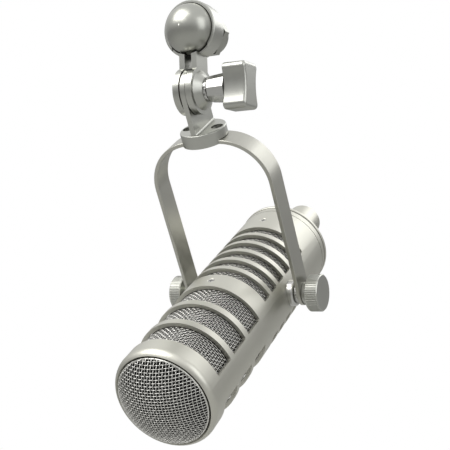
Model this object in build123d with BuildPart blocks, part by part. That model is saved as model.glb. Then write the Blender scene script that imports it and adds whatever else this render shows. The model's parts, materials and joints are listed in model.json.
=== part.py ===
"""Ribbon microphone in a yoke, hung from a ball mount.  Millimetres, +Z up.

The origin is the centre of the stand thread's mouth and +Y points out of that mouth.
X runs along the swivel hinge, and the microphone's own axis leans down towards -Y.
"""
from build123d import *
from math import cos, pi, radians, sin, sqrt
import os

os.makedirs("parts", exist_ok=True)

# ---------------------------------------------------------------- driving dimensions
# Pose at rest
yoke_lean = 27.9            # yoke swung back from hanging straight down, degrees
body_lean = 25.0            # microphone axis below horizontal at its front, degrees

# Stand ball and its 5/8"-27 socket
ball_radius = 14.9
ball_neck_radius = 10.2
hex_flange_corner_radius = 14.3
hex_flange_start = 16.0     # from the ball centre, towards the stand
hex_flange_thickness = 5.0
mouth_reach = 27.0          # ball centre to thread mouth
mouth_collar_radius = 10.8
stand_thread_radius = 7.94
stand_thread_depth = 15.0

# Liners and split clamp round the ball
ball_clearance = 0.1
liner_thickness = 0.4
front_liner_span = (-0.3, 2.8)      # along the stand axis, from the ball centre
rear_liner_span = (6.2, 8.7)
clamp_front = -2.6
clamp_step = 5.6
clamp_back = 10.6
clamp_ring_radius = 16.7
clamp_lip_gap = 0.15           # round the ball at the clamp's front edge
clamp_lip_back = -2.1
retaining_ring_radius = 16.2
ring_mouth_radius = 12.4     # leaves the ball's neck room to lean
ring_front_chamfer = 0.6
ring_back_chamfer = 0.8
ear_slot = 4.4
neck_thickness = 3.5
neck_front = -5.0
neck_back = 8.2
ear_radius = 13.6
ear_thickness = 3.9
ear_boss_radius = 11.4
ear_boss_tip_radius = 7.4
ear_boss_height = 3.8
ball_above_hinge = 36.0

# Clamp bolt, washer, collar and wing knob
bolt_radius = 3.0
bolt_clearance = 0.05
bolt_head_corner_radius = 5.7
bolt_head_thickness = 2.6
star_washer_radius = 7.0
star_washer_thickness = 1.8
star_washer_teeth = 12
collar_tip_radius = 7.6        # corners at the washer
collar_corner_radius = 8.8     # corners at the wing
collar_sides = 10
collar_length = 11.4
collar_chamfer = 0.6
wing_length = 14.2          # along the hinge
wing_height = 26.4
wing_depth = 20.4
wing_waist = 14.6
wing_corner_radius = 3.0
wing_face_radius = 2.0
wing_root_radius = 0.9
knob_gap = 0.2

# Tongue, hinge washers and round flange
tongue_thickness = 3.2
tongue_width = 26.0
hinge_washer_radius = 12.0
hinge_washer_thickness = 0.4
hinge_gap = 0.1
hinge_above_pivot = 136.5
flange_radius = 14.0
flange_thickness = 8.2
flange_edge_radius = 0.7
tongue_root_radius = 1.2
flange_screw_offset = 9.4
flange_screw_radius = 2.0
flange_screw_head_radius = 3.6
flange_screw_head_depth = 3.0
flange_screw_sink = 1.6      # head below the flange's face
flange_screw_socket_radius = 1.7

# Yoke strap
strap_width = 15.2
strap_thickness = 2.3
strap_half_span = 39.4
strap_corner_radius = 30.0
strap_height = 108.1        # pivot to the top face
strap_hole_clearance = 0.3
strap_edge_chamfer = 0.25

# Pivot hardware
stud_radius = 3.0
stud_clearance = 0.05
stud_inset = 2.0
stud_chamfer = 0.5
bush_radius = 5.0
bush_flange_radius = 7.5
bush_flange_thickness = 2.4
bush_start = 21.0           # from the microphone axis
saddle_radius = 8.2
saddle_top_radius = 6.9
saddle_height = 4.0
saddle_skirt = 2.0          # how far it reaches down round the tube
saddle_shoulder_drop = 0.5
saddle_shoulder_inset = 0.4
washer_radius = 6.5
arm_gap = 0.15
knob_radius = 11.5
knob_width = 8.2
knob_collar_radius = 6.8
knob_collar_length = 3.6
knob_flutes = 64
knob_flute_radius = 0.4
knob_edge_chamfer = 0.7
washer_flutes = 30
washer_flute_radius = 0.35
washer_chamfer = 0.3

# Housing tube.  Distances run along its axis from the pivot, positive to the tail.
tube_radius = 30.6
tube_wall = 2.3
zone_draft = 0.02              # the tube's surface rises and falls by this between window rows
tube_front = -119.9
rear_band = 30.2            # last window to the tube's end
nose_length = 5.2           # rounded edge of the front
nose_opening_radius = 27.5
nose_land = 1.6             # thickness of the inner shoulder that holds the dome
nose_lip = 0.8
nose_arc_share = 0.28        # how far along the nose its rounding passes...
nose_arc_drop = 0.9          # ...this depth
front_window_start = -106.3
front_window_pitch = 21.24
front_window_width = 16.84
front_window_count = 3
front_rail_angle = 15.6
seam_angle = 12.6              # the turned faces close here, clear of every opening
band_between_windows = 14.1
rear_window_pitch = 11.66
rear_window_width = 8.0
rear_window_count = 6
rear_rail_angle = 22.9
window_corner_radius = 0.8
rear_screw_inset = 18.7      # from the tube's end
body_screw_radius = 1.25
body_screw_head_radius = 2.3
body_screw_head_depth = 1.2
body_screw_slot = 0.6
body_screw_recess = 0.4
body_screw_gap = 0.2           # round the head
body_screw_set = 0.3        # head below the tube's surface
slot_reach = 0.7             # cross slot's share of the head
groove_inset = 5.0          # from the tube's end
groove_width = 0.5
groove_depth = 0.4

# Woven grille shells and foam
mesh_thickness = 0.8
mesh_gap = 0.2
dome_bulge = 12.0
dome_skirt = 5.0
sleeve_overlap = 2.0
clamp_ring_wall = 2.0
clamp_ring_length = 5.0
foam_thickness = 5.0
foam_gap = 0.4
lining_thickness = 2.5

# Ribbon motor
motor_station = -80.0       # centre of the ribbon
motor_depth = 10.0
frame_width = 30.0
frame_height = 36.0
frame_side = 4.0
frame_end = 5.0
magnet_width = 5.0
pole_tip_thickness = 3.0
fit_gap = 0.05
ribbon_width = 4.7
ribbon_thickness = 0.1
ribbon_pitch = 1.6
ribbon_wave = 0.5
ribbon_clamp_depth = 2.4
ribbon_clamp_width = 11.0
ribbon_clamp_thickness = 1.6
ribbon_clamp_gap = 0.3
clamp_screw_inset = 1.8
pole_gap = 0.4               # from the ribbon's edge
frame_corner_radius = 2.0
small_screw_radius = 0.8
small_screw_head_radius = 1.4
small_screw_head_height = 0.9
small_screw_length = 4.0
screen_thickness = 0.4
screen_overlap = 2.0
screen_corner_radius = 1.0

# Cradle, shock rings, bulkhead, acoustic cup
cradle_length = 16.0
shock_ring_section = 1.15
shock_ring_offset = 5.0
bulkhead_vent_radius = 2.5
bulkhead_vent_circle = 15.0
bulkhead_vent_count = 6
cup_radius = 22.0
cup_wall = 1.6
cup_length = 14.0
felt_thickness = 4.0

# Transformer and terminal board
transformer_start = -22.0
can_radius = 15.5
can_length = 34.0
can_wall = 1.0
core_width = 18.0
core_height = 20.0
core_length = 24.0
core_limb = 4.5
coil_wall = 3.0
coil_corner_radius = 1.5
board_station = 46.0
board_thickness = 1.6
post_radius = 1.0
post_length = 4.0
post_circle = 15.0
motor_lead_angles = (76.0, 256.0)
coil_lead_angles = (0.0, 180.0)
lead_radius = 0.6
lead_run_radius = 24.4
lead_bend = 2.5
lead_straight = 3.0          # run kept straight before and after a slope
lead_tip = 1.0
lead_above_frame = 0.4
lead_slope = 8.0            # length along the axis in which a lead changes its distance from it

# Tail cap and connector
tail_rim_radius = 31.1
tail_rim_thickness = 2.6
tail_dome_height = 3.0
tail_dome_rim = 15.0
tail_dome_share = 0.66       # rise reached half way in
tail_rim_front_chamfer = 0.4
tail_rim_back_chamfer = 0.8
tail_spigot_length = 22.0
tail_spigot_wall = 3.0
gasket_thickness = 0.6
gasket_inset = 0.3
tail_screw_count = 3
tail_screw_circle = 16.0
tail_screw_radius = 1.0
tail_screw_head_radius = 1.9
tail_screw_head_height = 1.2
tail_screw_length = 4.5
barrel_radius = 12.0
barrel_length = 46.5
barrel_edge = 0.8
barrel_flange_radius = 19.0
barrel_flange_thickness = 2.0
barrel_bore_radius = 8.25
barrel_bore_depth = 17.0
barrel_wire_bore_radius = 6.6
insert_thickness = 7.0
pin_radius = 1.18
pin_circle = 4.95
pin_length = 12.6
pin_chamfer = 0.4
pin_tail = 4.0
pin_angles = (45.0, 135.0, 270.0)
latch_slot_width = 3.6
latch_slot_length = 6.0
latch_slot_depth = 1.0

# ---------------------------------------------------------------- places
ball_y = -mouth_reach
hinge_z = -ball_above_hinge
lean = radians(yoke_lean)
pivot = Vector(0, ball_y + hinge_above_pivot * sin(lean), hinge_z - hinge_above_pivot * cos(lean))
tilt = radians(body_lean)
body_back = Vector(0, cos(tilt), sin(tilt))
body_up = Vector(0, -sin(tilt), cos(tilt))
yoke_back = Vector(0, cos(lean), sin(lean))
yoke_up = Vector(0, -sin(lean), cos(lean))
side = Vector(1, 0, 0)

ball_turned = Plane(origin=(0, ball_y, 0), x_dir=(0, 1, 0), z_dir=(1, 0, 0))
ball_axis = Axis((0, ball_y, 0), (0, 1, 0))
body_turned = Plane(origin=pivot, x_dir=body_back, z_dir=side)
body_axis = Axis(pivot, body_back)
hinge_plane = Plane(origin=(0, ball_y, hinge_z), x_dir=(0, 1, 0), z_dir=(1, 0, 0))
yoke_front = Plane(origin=pivot, x_dir=side, z_dir=-yoke_back)
pivot_plane = Plane(origin=pivot, x_dir=yoke_back, z_dir=side)


def station(distance):
    """Cross-section of the housing at a distance from the pivot, facing the tail."""
    return Plane(origin=pivot + body_back * distance, x_dir=-side, z_dir=body_back)


def radial(distance, angle):
    """Plane on the body axis whose normal points outwards at an angle from +X towards the top."""
    outward = side * cos(radians(angle)) + body_up * sin(radians(angle))
    return Plane(origin=pivot + body_back * distance, x_dir=body_back, z_dir=outward)


def across(radius, angle):
    """Place in a cross-section of the housing, at an angle from +X towards the top."""
    return -radius * cos(radians(angle)), radius * sin(radians(angle))


def around(distance, radius, angle):
    """The same place in space, at a distance along the housing."""
    right, up = across(radius, angle)
    return pivot + body_back * distance - side * right + body_up * up


def yoke_level(distance):
    """Plane across the yoke at a distance above the pivot, facing up the yoke."""
    return Plane(origin=pivot + yoke_up * distance, x_dir=side, z_dir=yoke_up)


def ball_section(distance):
    """Cross-section of the ball mount, facing the stand."""
    return Plane(origin=(0, ball_y + distance, 0), x_dir=(-1, 0, 0), z_dir=(0, 1, 0))


tube_bore = tube_radius - tube_wall
ear_inner = tongue_thickness / 2 + hinge_washer_thickness + hinge_gap
ear_outer = ear_inner + ear_thickness
boss_tip = ear_outer + ear_boss_height
star_end = boss_tip + star_washer_thickness
collar_start = star_end + knob_gap
collar_end = collar_start + collar_length
flange_top = strap_height - strap_thickness + flange_thickness
arm_inner = strap_half_span - strap_thickness
saddle_end = tube_radius + saddle_height
knob_start = strap_half_span + arm_gap

# ---------------------------------------------------------------- stand ball
ball_back = sqrt(ball_radius ** 2 - ball_neck_radius ** 2)
with BuildPart() as stand_ball:
    with BuildSketch(ball_turned):
        with BuildLine():
            RadiusArc((-ball_radius, 0), (0, ball_radius), ball_radius)
            RadiusArc((0, ball_radius), (ball_back, ball_neck_radius), ball_radius)
            Polyline(
                (ball_back, ball_neck_radius),
                (hex_flange_start + 1, ball_neck_radius),
                (hex_flange_start + 1, mouth_collar_radius),
                (mouth_reach, mouth_collar_radius),
                (mouth_reach, 0),
                (-ball_radius, 0),
            )
        make_face()
    revolve(axis=ball_axis)
    with BuildSketch(ball_section(hex_flange_start)):
        RegularPolygon(hex_flange_corner_radius, 6)
    extrude(amount=hex_flange_thickness)
    with BuildSketch(ball_section(mouth_reach - stand_thread_depth)):
        Circle(stand_thread_radius)
    extrude(amount=stand_thread_depth, mode=Mode.SUBTRACT)
stand_ball.part.label = "stand_ball"
export_step(stand_ball.part, "parts/stand_ball.step")

# ---------------------------------------------------------------- ball liners
liner_inner = ball_radius + ball_clearance
liner_outer = liner_inner + liner_thickness
liner_spans = {"ball_liner_front": front_liner_span, "ball_liner_rear": rear_liner_span}
for liner_name, (start, end) in liner_spans.items():
    inner_start = (start, sqrt(liner_inner ** 2 - start ** 2))
    inner_end = (end, sqrt(liner_inner ** 2 - end ** 2))
    outer_start = (start, sqrt(liner_outer ** 2 - start ** 2))
    outer_end = (end, sqrt(liner_outer ** 2 - end ** 2))
    with BuildPart() as ball_liner:
        with BuildSketch(ball_turned):
            with BuildLine():
                RadiusArc(inner_start, inner_end, liner_inner)
                Line(inner_end, outer_end)
                RadiusArc(outer_start, outer_end, liner_outer)
                Line(outer_start, inner_start)
            make_face()
        revolve(axis=ball_axis)
    ball_liner.part.label = liner_name
    export_step(ball_liner.part, f"parts/{liner_name}.step")

# ---------------------------------------------------------------- split clamp
seat_radius = liner_outer + ball_clearance
with BuildPart() as ball_clamp:
    with BuildSketch(ball_section(clamp_front)):
        Circle(clamp_ring_radius)
    extrude(amount=clamp_step - clamp_front)
    chamfer(ball_clamp.faces().sort_by(Axis.Y)[0].edges(), ring_front_chamfer)
    with BuildSketch(hinge_plane.offset(-ear_outer)):
        with Locations(((neck_front + neck_back) / 2, ball_above_hinge / 2)):
            Rectangle(neck_back - neck_front, ball_above_hinge)
    extrude(amount=2 * ear_outer)
    with BuildSketch(hinge_plane.offset(ear_slot / 2 + neck_thickness)):
        with Locations((0, ball_above_hinge / 2)):
            Rectangle(2 * ear_radius, ball_above_hinge)
    extrude(amount=ear_outer, mode=Mode.SUBTRACT)
    with BuildSketch(hinge_plane.offset(-ear_slot / 2 - neck_thickness)):
        with Locations((0, ball_above_hinge / 2)):
            Rectangle(2 * ear_radius, ball_above_hinge)
    extrude(amount=-ear_outer, mode=Mode.SUBTRACT)
    with BuildSketch(ball_section(clamp_front + ring_front_chamfer)):
        Circle(clamp_ring_radius)
    extrude(amount=clamp_step - clamp_front - ring_front_chamfer)
    with BuildSketch(hinge_plane.offset(-ear_outer)):
        Circle(ear_radius)
    extrude(amount=2 * ear_outer)
    with BuildSketch(hinge_plane.offset(ear_outer)):
        Circle(ear_boss_radius)
    with BuildSketch(hinge_plane.offset(boss_tip)):
        Circle(ear_boss_tip_radius)
    loft()
    with BuildSketch(hinge_plane.offset(-ear_slot / 2)):
        with Locations((0, ball_above_hinge / 2)):
            Rectangle(2 * ear_radius + 2, ball_above_hinge)
    extrude(amount=ear_slot, mode=Mode.SUBTRACT)
    with BuildSketch(hinge_plane.offset(-ear_inner)):
        Circle(ear_radius + 1)
    extrude(amount=2 * ear_inner, mode=Mode.SUBTRACT)
    with BuildSketch(ball_turned):
        with BuildLine():
            Polyline((-seat_radius, 0), (seat_radius, 0))
            ThreePointArc((seat_radius, 0), (0, seat_radius), (-seat_radius, 0))
        make_face()
        with Locations((clamp_lip_back - seat_radius, 0)):
            Rectangle(2 * seat_radius, 2 * seat_radius, mode=Mode.SUBTRACT)
    revolve(axis=ball_axis, mode=Mode.SUBTRACT)
    with BuildSketch(ball_section(neck_front)):
        Circle(ball_radius + clamp_lip_gap)
    extrude(amount=clamp_lip_back - neck_front, mode=Mode.SUBTRACT)
    with BuildSketch(hinge_plane.offset(-ear_outer)):
        Circle(bolt_radius + bolt_clearance)
    extrude(amount=ear_outer + boss_tip, mode=Mode.SUBTRACT)
    with BuildSketch(hinge_plane.offset(-ear_outer)):
        RegularPolygon(bolt_head_corner_radius + bolt_clearance, 6)
    extrude(amount=bolt_head_thickness, mode=Mode.SUBTRACT)
ball_clamp.part.label = "ball_clamp"
export_step(ball_clamp.part, "parts/ball_clamp.step")

with BuildPart() as retaining_ring:
    with BuildSketch(ball_section(clamp_step)):
        Circle(retaining_ring_radius)
    extrude(amount=clamp_back - clamp_step)
    chamfer(retaining_ring.faces().sort_by(Axis.Y)[-1].edges(), ring_back_chamfer)
    with BuildSketch(ball_turned):
        with BuildLine():
            Polyline((-seat_radius, 0), (seat_radius, 0))
            ThreePointArc((seat_radius, 0), (0, seat_radius), (-seat_radius, 0))
        make_face()
    revolve(axis=ball_axis, mode=Mode.SUBTRACT)
    with BuildSketch(ball_section(clamp_step)):
        Circle(ring_mouth_radius)
    extrude(amount=clamp_back - clamp_step, mode=Mode.SUBTRACT)
    with BuildSketch(hinge_plane.offset(-ear_outer)):
        with Locations((0, ball_above_hinge / 2)):
            Rectangle(2 * (neck_back + hinge_gap), ball_above_hinge)
    extrude(amount=2 * ear_outer, mode=Mode.SUBTRACT)
retaining_ring.part.label = "retaining_ring"
export_step(retaining_ring.part, "parts/retaining_ring.step")

# ---------------------------------------------------------------- clamp bolt, washer, collar, wing knob
bolt_end = collar_end + wing_length / 2
with BuildPart() as clamp_bolt:
    with BuildSketch(hinge_plane.offset(-ear_outer)):
        RegularPolygon(bolt_head_corner_radius, 6)
    extrude(amount=bolt_head_thickness)
    with BuildSketch(hinge_plane.offset(-ear_outer)):
        Circle(bolt_radius)
    extrude(amount=ear_outer + bolt_end)
clamp_bolt.part.label = "clamp_bolt"
export_step(clamp_bolt.part, "parts/clamp_bolt.step")

with BuildPart() as star_washer:
    with BuildSketch(hinge_plane.offset(boss_tip)):
        Circle(star_washer_radius)
        with PolarLocations(star_washer_radius, star_washer_teeth):
            Circle(star_washer_radius / star_washer_teeth, mode=Mode.SUBTRACT)
        Circle(bolt_radius + bolt_clearance, mode=Mode.SUBTRACT)
    extrude(amount=star_washer_thickness)
star_washer.part.label = "star_washer"
export_step(star_washer.part, "parts/star_washer.step")

with BuildPart() as wing_collar:
    with BuildSketch(hinge_plane.offset(collar_start)):
        RegularPolygon(collar_tip_radius, collar_sides)
    with BuildSketch(hinge_plane.offset(collar_end)):
        RegularPolygon(collar_corner_radius, collar_sides)
    loft()
    chamfer(wing_collar.faces().sort_by(Axis.X)[0].edges(), collar_chamfer)
    with BuildSketch(hinge_plane.offset(collar_start)):
        Circle(bolt_radius + bolt_clearance)
    extrude(amount=collar_length, mode=Mode.SUBTRACT)
wing_collar.part.label = "wing_collar"
export_step(wing_collar.part, "parts/wing_collar.step")

with BuildPart() as wing_knob:
    with BuildSketch(hinge_plane.offset(collar_end)):
        front_low, front_high = (-wing_depth / 2, -wing_height / 2), (-wing_depth / 2, wing_height / 2)
        back_low, back_high = (wing_depth / 2, -wing_height / 2), (wing_depth / 2, wing_height / 2)
        with BuildLine():
            ThreePointArc(back_low, (wing_waist / 2, 0), back_high)
            Line(back_high, front_high)
            ThreePointArc(front_high, (-wing_waist / 2, 0), front_low)
            Line(front_low, back_low)
        make_face()
    extrude(amount=wing_length)
    fillet(wing_knob.edges().filter_by(Axis.X), wing_corner_radius)
    fillet(wing_knob.faces().sort_by(Axis.X)[-1].edges(), wing_face_radius)
    fillet(wing_knob.faces().sort_by(Axis.X)[0].edges(), wing_root_radius)
    with BuildSketch(hinge_plane.offset(collar_end)):
        Circle(bolt_radius + bolt_clearance)
    extrude(amount=wing_length / 2 + bolt_clearance, mode=Mode.SUBTRACT)
wing_knob.part.label = "wing_knob"
export_step(wing_knob.part, "parts/wing_knob.step")

# ---------------------------------------------------------------- tongue with its round flange
with BuildPart() as tongue_flange:
    with BuildSketch(yoke_level(flange_top - flange_thickness)):
        Circle(flange_radius)
    extrude(amount=flange_thickness)
    fillet(tongue_flange.faces().sort_by(Axis(pivot, yoke_up))[-1].edges(), flange_edge_radius)
    tongue_rise = hinge_above_pivot - flange_top
    with BuildSketch(pivot_plane.offset(-tongue_thickness / 2)):
        with Locations((0, hinge_above_pivot)):
            Circle(tongue_width / 2)
        with Locations((0, flange_top + tongue_rise / 2)):
            Rectangle(tongue_width, tongue_rise)
    extrude(amount=tongue_thickness)
    root_edges = tongue_flange.edges().filter_by(
        lambda e: abs((e.center() - pivot).dot(yoke_up) - flange_top) < fit_gap
        and abs(abs(e.center().X) - tongue_thickness / 2) < fit_gap
        and abs(e.center().dot(yoke_back) - pivot.dot(yoke_back)) < fit_gap
    )
    fillet(root_edges, tongue_root_radius)
    with BuildSketch(pivot_plane.offset(-tongue_thickness / 2)):
        with Locations((0, hinge_above_pivot)):
            Circle(bolt_radius + bolt_clearance)
    extrude(amount=tongue_thickness, mode=Mode.SUBTRACT)
    with BuildSketch(yoke_level(strap_height - strap_thickness)):
        Rectangle(3 * flange_radius, strap_width + 2 * fit_gap)
    extrude(amount=strap_thickness, mode=Mode.SUBTRACT)
    flange_face = yoke_level(flange_top)
    with BuildSketch(flange_face):
        with Locations((-flange_screw_offset, 0), (flange_screw_offset, 0)):
            Circle(flange_screw_radius + fit_gap)
    extrude(amount=-flange_thickness, mode=Mode.SUBTRACT)
    with BuildSketch(flange_face):
        with Locations((-flange_screw_offset, 0), (flange_screw_offset, 0)):
            Circle(flange_screw_head_radius + fit_gap)
    extrude(amount=-flange_screw_head_depth - flange_screw_sink, mode=Mode.SUBTRACT)
tongue_flange.part.label = "tongue_flange"
export_step(tongue_flange.part, "parts/tongue_flange.step")

with BuildPart() as flange_screws:
    screw_seat = yoke_level(flange_top - flange_screw_head_depth - flange_screw_sink)
    with BuildSketch(screw_seat):
        with Locations((-flange_screw_offset, 0), (flange_screw_offset, 0)):
            Circle(flange_screw_head_radius)
            RegularPolygon(flange_screw_socket_radius, 6, mode=Mode.SUBTRACT)
    extrude(amount=flange_screw_head_depth)
    with BuildSketch(screw_seat):
        with Locations((-flange_screw_offset, 0), (flange_screw_offset, 0)):
            Circle(flange_screw_head_radius)
    extrude(amount=flange_screw_head_depth / 3)
    with BuildSketch(screw_seat):
        with Locations((-flange_screw_offset, 0), (flange_screw_offset, 0)):
            Circle(flange_screw_radius)
    extrude(amount=flange_screw_head_depth + flange_screw_sink - flange_thickness)
flange_screws.part.label = "flange_screws"
export_step(flange_screws.part, "parts/flange_screws.step")

with BuildPart() as hinge_washers:
    for start in (-tongue_thickness / 2 - hinge_washer_thickness, tongue_thickness / 2):
        with BuildSketch(hinge_plane.offset(start)):
            Circle(hinge_washer_radius)
            Circle(bolt_radius + bolt_clearance, mode=Mode.SUBTRACT)
        extrude(amount=hinge_washer_thickness)
hinge_washers.part.label = "hinge_washers"
export_step(hinge_washers.part, "parts/hinge_washers.step")

# ---------------------------------------------------------------- yoke strap
with BuildPart() as yoke_strap:
    with BuildSketch(yoke_front.offset(-strap_width / 2)):
        with BuildLine():
            outline = FilletPolyline(
                (-strap_half_span, -strap_width / 2),
                (-strap_half_span, strap_height),
                (strap_half_span, strap_height),
                (strap_half_span, -strap_width / 2),
                radius=strap_corner_radius,
            )
            inner = FilletPolyline(
                (-arm_inner, -strap_width / 2),
                (-arm_inner, strap_height - strap_thickness),
                (arm_inner, strap_height - strap_thickness),
                (arm_inner, -strap_width / 2),
                radius=strap_corner_radius - strap_thickness,
            )
            Line(outline @ 0, inner @ 0)
            Line(outline @ 1, inner @ 1)
        make_face()
    extrude(amount=strap_width)
    with BuildSketch(pivot_plane.offset(-strap_half_span)):
        with Locations((0, -strap_width / 4)):
            Rectangle(strap_width, strap_width / 2)
        Circle(strap_width / 2, mode=Mode.SUBTRACT)
    extrude(amount=2 * strap_half_span, mode=Mode.SUBTRACT)
    with BuildSketch(pivot_plane.offset(-strap_half_span)):
        Circle(stud_radius + strap_hole_clearance)
    extrude(amount=2 * strap_half_span, mode=Mode.SUBTRACT)
    with BuildSketch(yoke_level(strap_height)):
        with Locations((-flange_screw_offset, 0), (flange_screw_offset, 0)):
            Circle(flange_screw_radius + fit_gap)
    extrude(amount=-strap_thickness, mode=Mode.SUBTRACT)
    long_sides = yoke_strap.faces().sort_by(Axis(pivot, yoke_back))
    chamfer(long_sides[0].edges() + long_sides[-1].edges(), strap_edge_chamfer)
yoke_strap.part.label = "yoke_strap"
export_step(yoke_strap.part, "parts/yoke_strap.step")

# ---------------------------------------------------------------- housing tube
front_windows_end = front_window_start + (front_window_count - 1) * front_window_pitch + front_window_width
rear_window_start = front_windows_end + band_between_windows
rear_windows_end = rear_window_start + (rear_window_count - 1) * rear_window_pitch + rear_window_width
tube_back = rear_windows_end + rear_band
groove_station = tube_back - groove_inset
front_screw_station = front_windows_end + band_between_windows / 2
rear_screw_station = tube_back - rear_screw_inset
body_screw_stations = (front_screw_station, rear_screw_station)
body_screw_length = tube_wall + tail_spigot_wall - body_screw_recess
front_bands = [
    front_window_start + window * front_window_pitch - (front_window_pitch - front_window_width) / 2
    for window in range(1, front_window_count)
]
rear_bands = [
    rear_window_start + window * rear_window_pitch - (rear_window_pitch - rear_window_width) / 2
    for window in range(1, rear_window_count)
]
tube_bands = [*front_bands, front_screw_station - 2 * body_screw_head_radius, *rear_bands]
tube_zones = [(band, zone_draft * (place % 2)) for place, band in enumerate(tube_bands, start=1)]
with BuildPart() as housing_tube:
    with BuildSketch(radial(0, seam_angle - 90)):
        with BuildLine():
            ThreePointArc(
                (tube_front + nose_length, tube_radius),
                (tube_front + nose_arc_share * nose_length, tube_radius - nose_arc_drop),
                (tube_front, nose_opening_radius + nose_lip),
            )
            Polyline(
                (tube_front, nose_opening_radius + nose_lip),
                (tube_front + nose_lip, nose_opening_radius),
                (tube_front + nose_land, nose_opening_radius),
                (tube_front + nose_land, tube_bore),
                *[(band, tube_bore - dip) for band, dip in tube_zones],
                (tube_back, tube_bore),
                (tube_back, tube_radius),
                (groove_station + groove_width, tube_radius),
                (groove_station + groove_width, tube_radius - groove_depth),
                (groove_station, tube_radius - groove_depth),
                (groove_station, tube_radius),
                *[(band, tube_radius - dip) for band, dip in reversed(tube_zones)],
                (tube_front + nose_length, tube_radius),
            )
        make_face()
    revolve(axis=body_axis)
    for first, pitch, width, count, rail in (
        (front_window_start, front_window_pitch, front_window_width, front_window_count, front_rail_angle),
        (rear_window_start, rear_window_pitch, rear_window_width, rear_window_count, rear_rail_angle),
    ):
        for window in range(count):
            with BuildSketch(station(first + window * pitch)):
                for middle in (90, 270):
                    with BuildLine():
                        reach = 2 * tube_radius
                        spread = 90 - rail
                        low = Vector(reach, 0).rotate(Axis.Z, middle - spread)
                        high = Vector(reach, 0).rotate(Axis.Z, middle + spread)
                        top = Vector(reach, 0).rotate(Axis.Z, middle)
                        Line((0, 0), low)
                        ThreePointArc(low, top, high)
                        Line(high, (0, 0))
                    make_face()
            extrude(amount=width, mode=Mode.SUBTRACT)
    corners = housing_tube.edges().filter_by(lambda e: abs(e.length - tube_wall) < fit_gap / 2)
    fillet(corners, window_corner_radius)
    for angle in (0, 180):
        with BuildSketch(radial(0, angle)):
            Circle(bush_radius + fit_gap)
        extrude(amount=2 * tube_radius, mode=Mode.SUBTRACT)
    for distance in body_screw_stations:
        for angle in (90, 270):
            with BuildSketch(radial(distance, angle).offset(tube_radius)):
                Circle(body_screw_head_radius + fit_gap)
            extrude(amount=-body_screw_head_depth, taper=45, mode=Mode.SUBTRACT)
            with BuildSketch(radial(distance, angle)):
                Circle(body_screw_radius + fit_gap)
            extrude(amount=tube_radius, mode=Mode.SUBTRACT)
housing_tube.part.label = "housing_tube"
export_step(housing_tube.part, "parts/housing_tube.step")

with BuildPart() as housing_screws:
    for distance in body_screw_stations:
        for angle in (90, 270):
            head = radial(distance, angle).offset(tube_radius - body_screw_set)
            with BuildSketch(head):
                Circle(body_screw_head_radius - body_screw_set - body_screw_gap)
            extrude(amount=-body_screw_head_depth + body_screw_set, taper=45)
            with BuildSketch(head):
                Circle(body_screw_radius)
            extrude(amount=-body_screw_length)
            with BuildSketch(head):
                Rectangle(2 * body_screw_head_radius, body_screw_slot)
                Rectangle(body_screw_slot, 2 * body_screw_head_radius)
                Circle(slot_reach * body_screw_head_radius, mode=Mode.INTERSECT)
            extrude(amount=-body_screw_slot, mode=Mode.SUBTRACT)
housing_screws.part.label = "housing_screws"
export_step(housing_screws.part, "parts/housing_screws.step")

# ---------------------------------------------------------------- woven dome, sleeves and foam
dome_seat = tube_front + nose_land
dome_rim = nose_opening_radius - mesh_gap
dome_sphere = (dome_rim ** 2 + dome_bulge ** 2) / (2 * dome_bulge)
dome_inner_rim = dome_rim - mesh_thickness
dome_inner_bulge = dome_bulge - mesh_thickness
dome_inner_sphere = (dome_inner_rim ** 2 + dome_inner_bulge ** 2) / (2 * dome_inner_bulge)
dome_flange_radius = tube_bore - mesh_gap
dome_apex = tube_front - dome_bulge
with BuildPart() as front_grille:
    with BuildSketch(body_turned):
        with BuildLine():
            RadiusArc((dome_apex, 0), (tube_front, dome_rim), dome_sphere)
            Polyline(
                (tube_front, dome_rim),
                (dome_seat, dome_rim),
                (dome_seat, dome_flange_radius),
                (dome_seat + mesh_thickness, dome_flange_radius),
                (dome_seat + mesh_thickness, dome_inner_rim),
                (tube_front, dome_inner_rim),
            )
            RadiusArc(
                (dome_apex + mesh_thickness, 0),
                (tube_front, dome_inner_rim),
                dome_inner_sphere,
            )
            Line((dome_apex + mesh_thickness, 0), (dome_apex, 0))
        make_face()
    revolve(axis=body_axis)
front_grille.part.label = "front_grille"
export_step(front_grille.part, "parts/front_grille.step")

clamp_ring_start = dome_seat + mesh_thickness
with BuildPart() as grille_clamp_ring:
    with BuildSketch(station(clamp_ring_start)):
        Circle(dome_flange_radius)
        Circle(dome_flange_radius - clamp_ring_wall, mode=Mode.SUBTRACT)
    extrude(amount=clamp_ring_length)
grille_clamp_ring.part.label = "grille_clamp_ring"
export_step(grille_clamp_ring.part, "parts/grille_clamp_ring.step")

sleeve_outer = tube_bore - mesh_gap
sleeve_inner = sleeve_outer - mesh_thickness
front_sleeve_start = clamp_ring_start + clamp_ring_length + mesh_gap
with BuildPart() as front_sleeve:
    with BuildSketch(station(front_sleeve_start)):
        Circle(sleeve_outer)
        Circle(sleeve_inner, mode=Mode.SUBTRACT)
    extrude(amount=front_windows_end + sleeve_overlap - front_sleeve_start)
front_sleeve.part.label = "front_sleeve"
export_step(front_sleeve.part, "parts/front_sleeve.step")

rear_sleeve_start = rear_window_start - sleeve_overlap
with BuildPart() as rear_sleeve:
    with BuildSketch(station(rear_sleeve_start)):
        Circle(sleeve_outer)
        Circle(sleeve_inner, mode=Mode.SUBTRACT)
    extrude(amount=rear_windows_end + sleeve_overlap - rear_sleeve_start)
    for angle in (0, 180):
        with BuildSketch(radial(0, angle)):
            Circle(bush_flange_radius + mesh_gap)
        extrude(amount=tube_radius, mode=Mode.SUBTRACT)
rear_sleeve.part.label = "rear_sleeve"
export_step(rear_sleeve.part, "parts/rear_sleeve.step")

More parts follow.
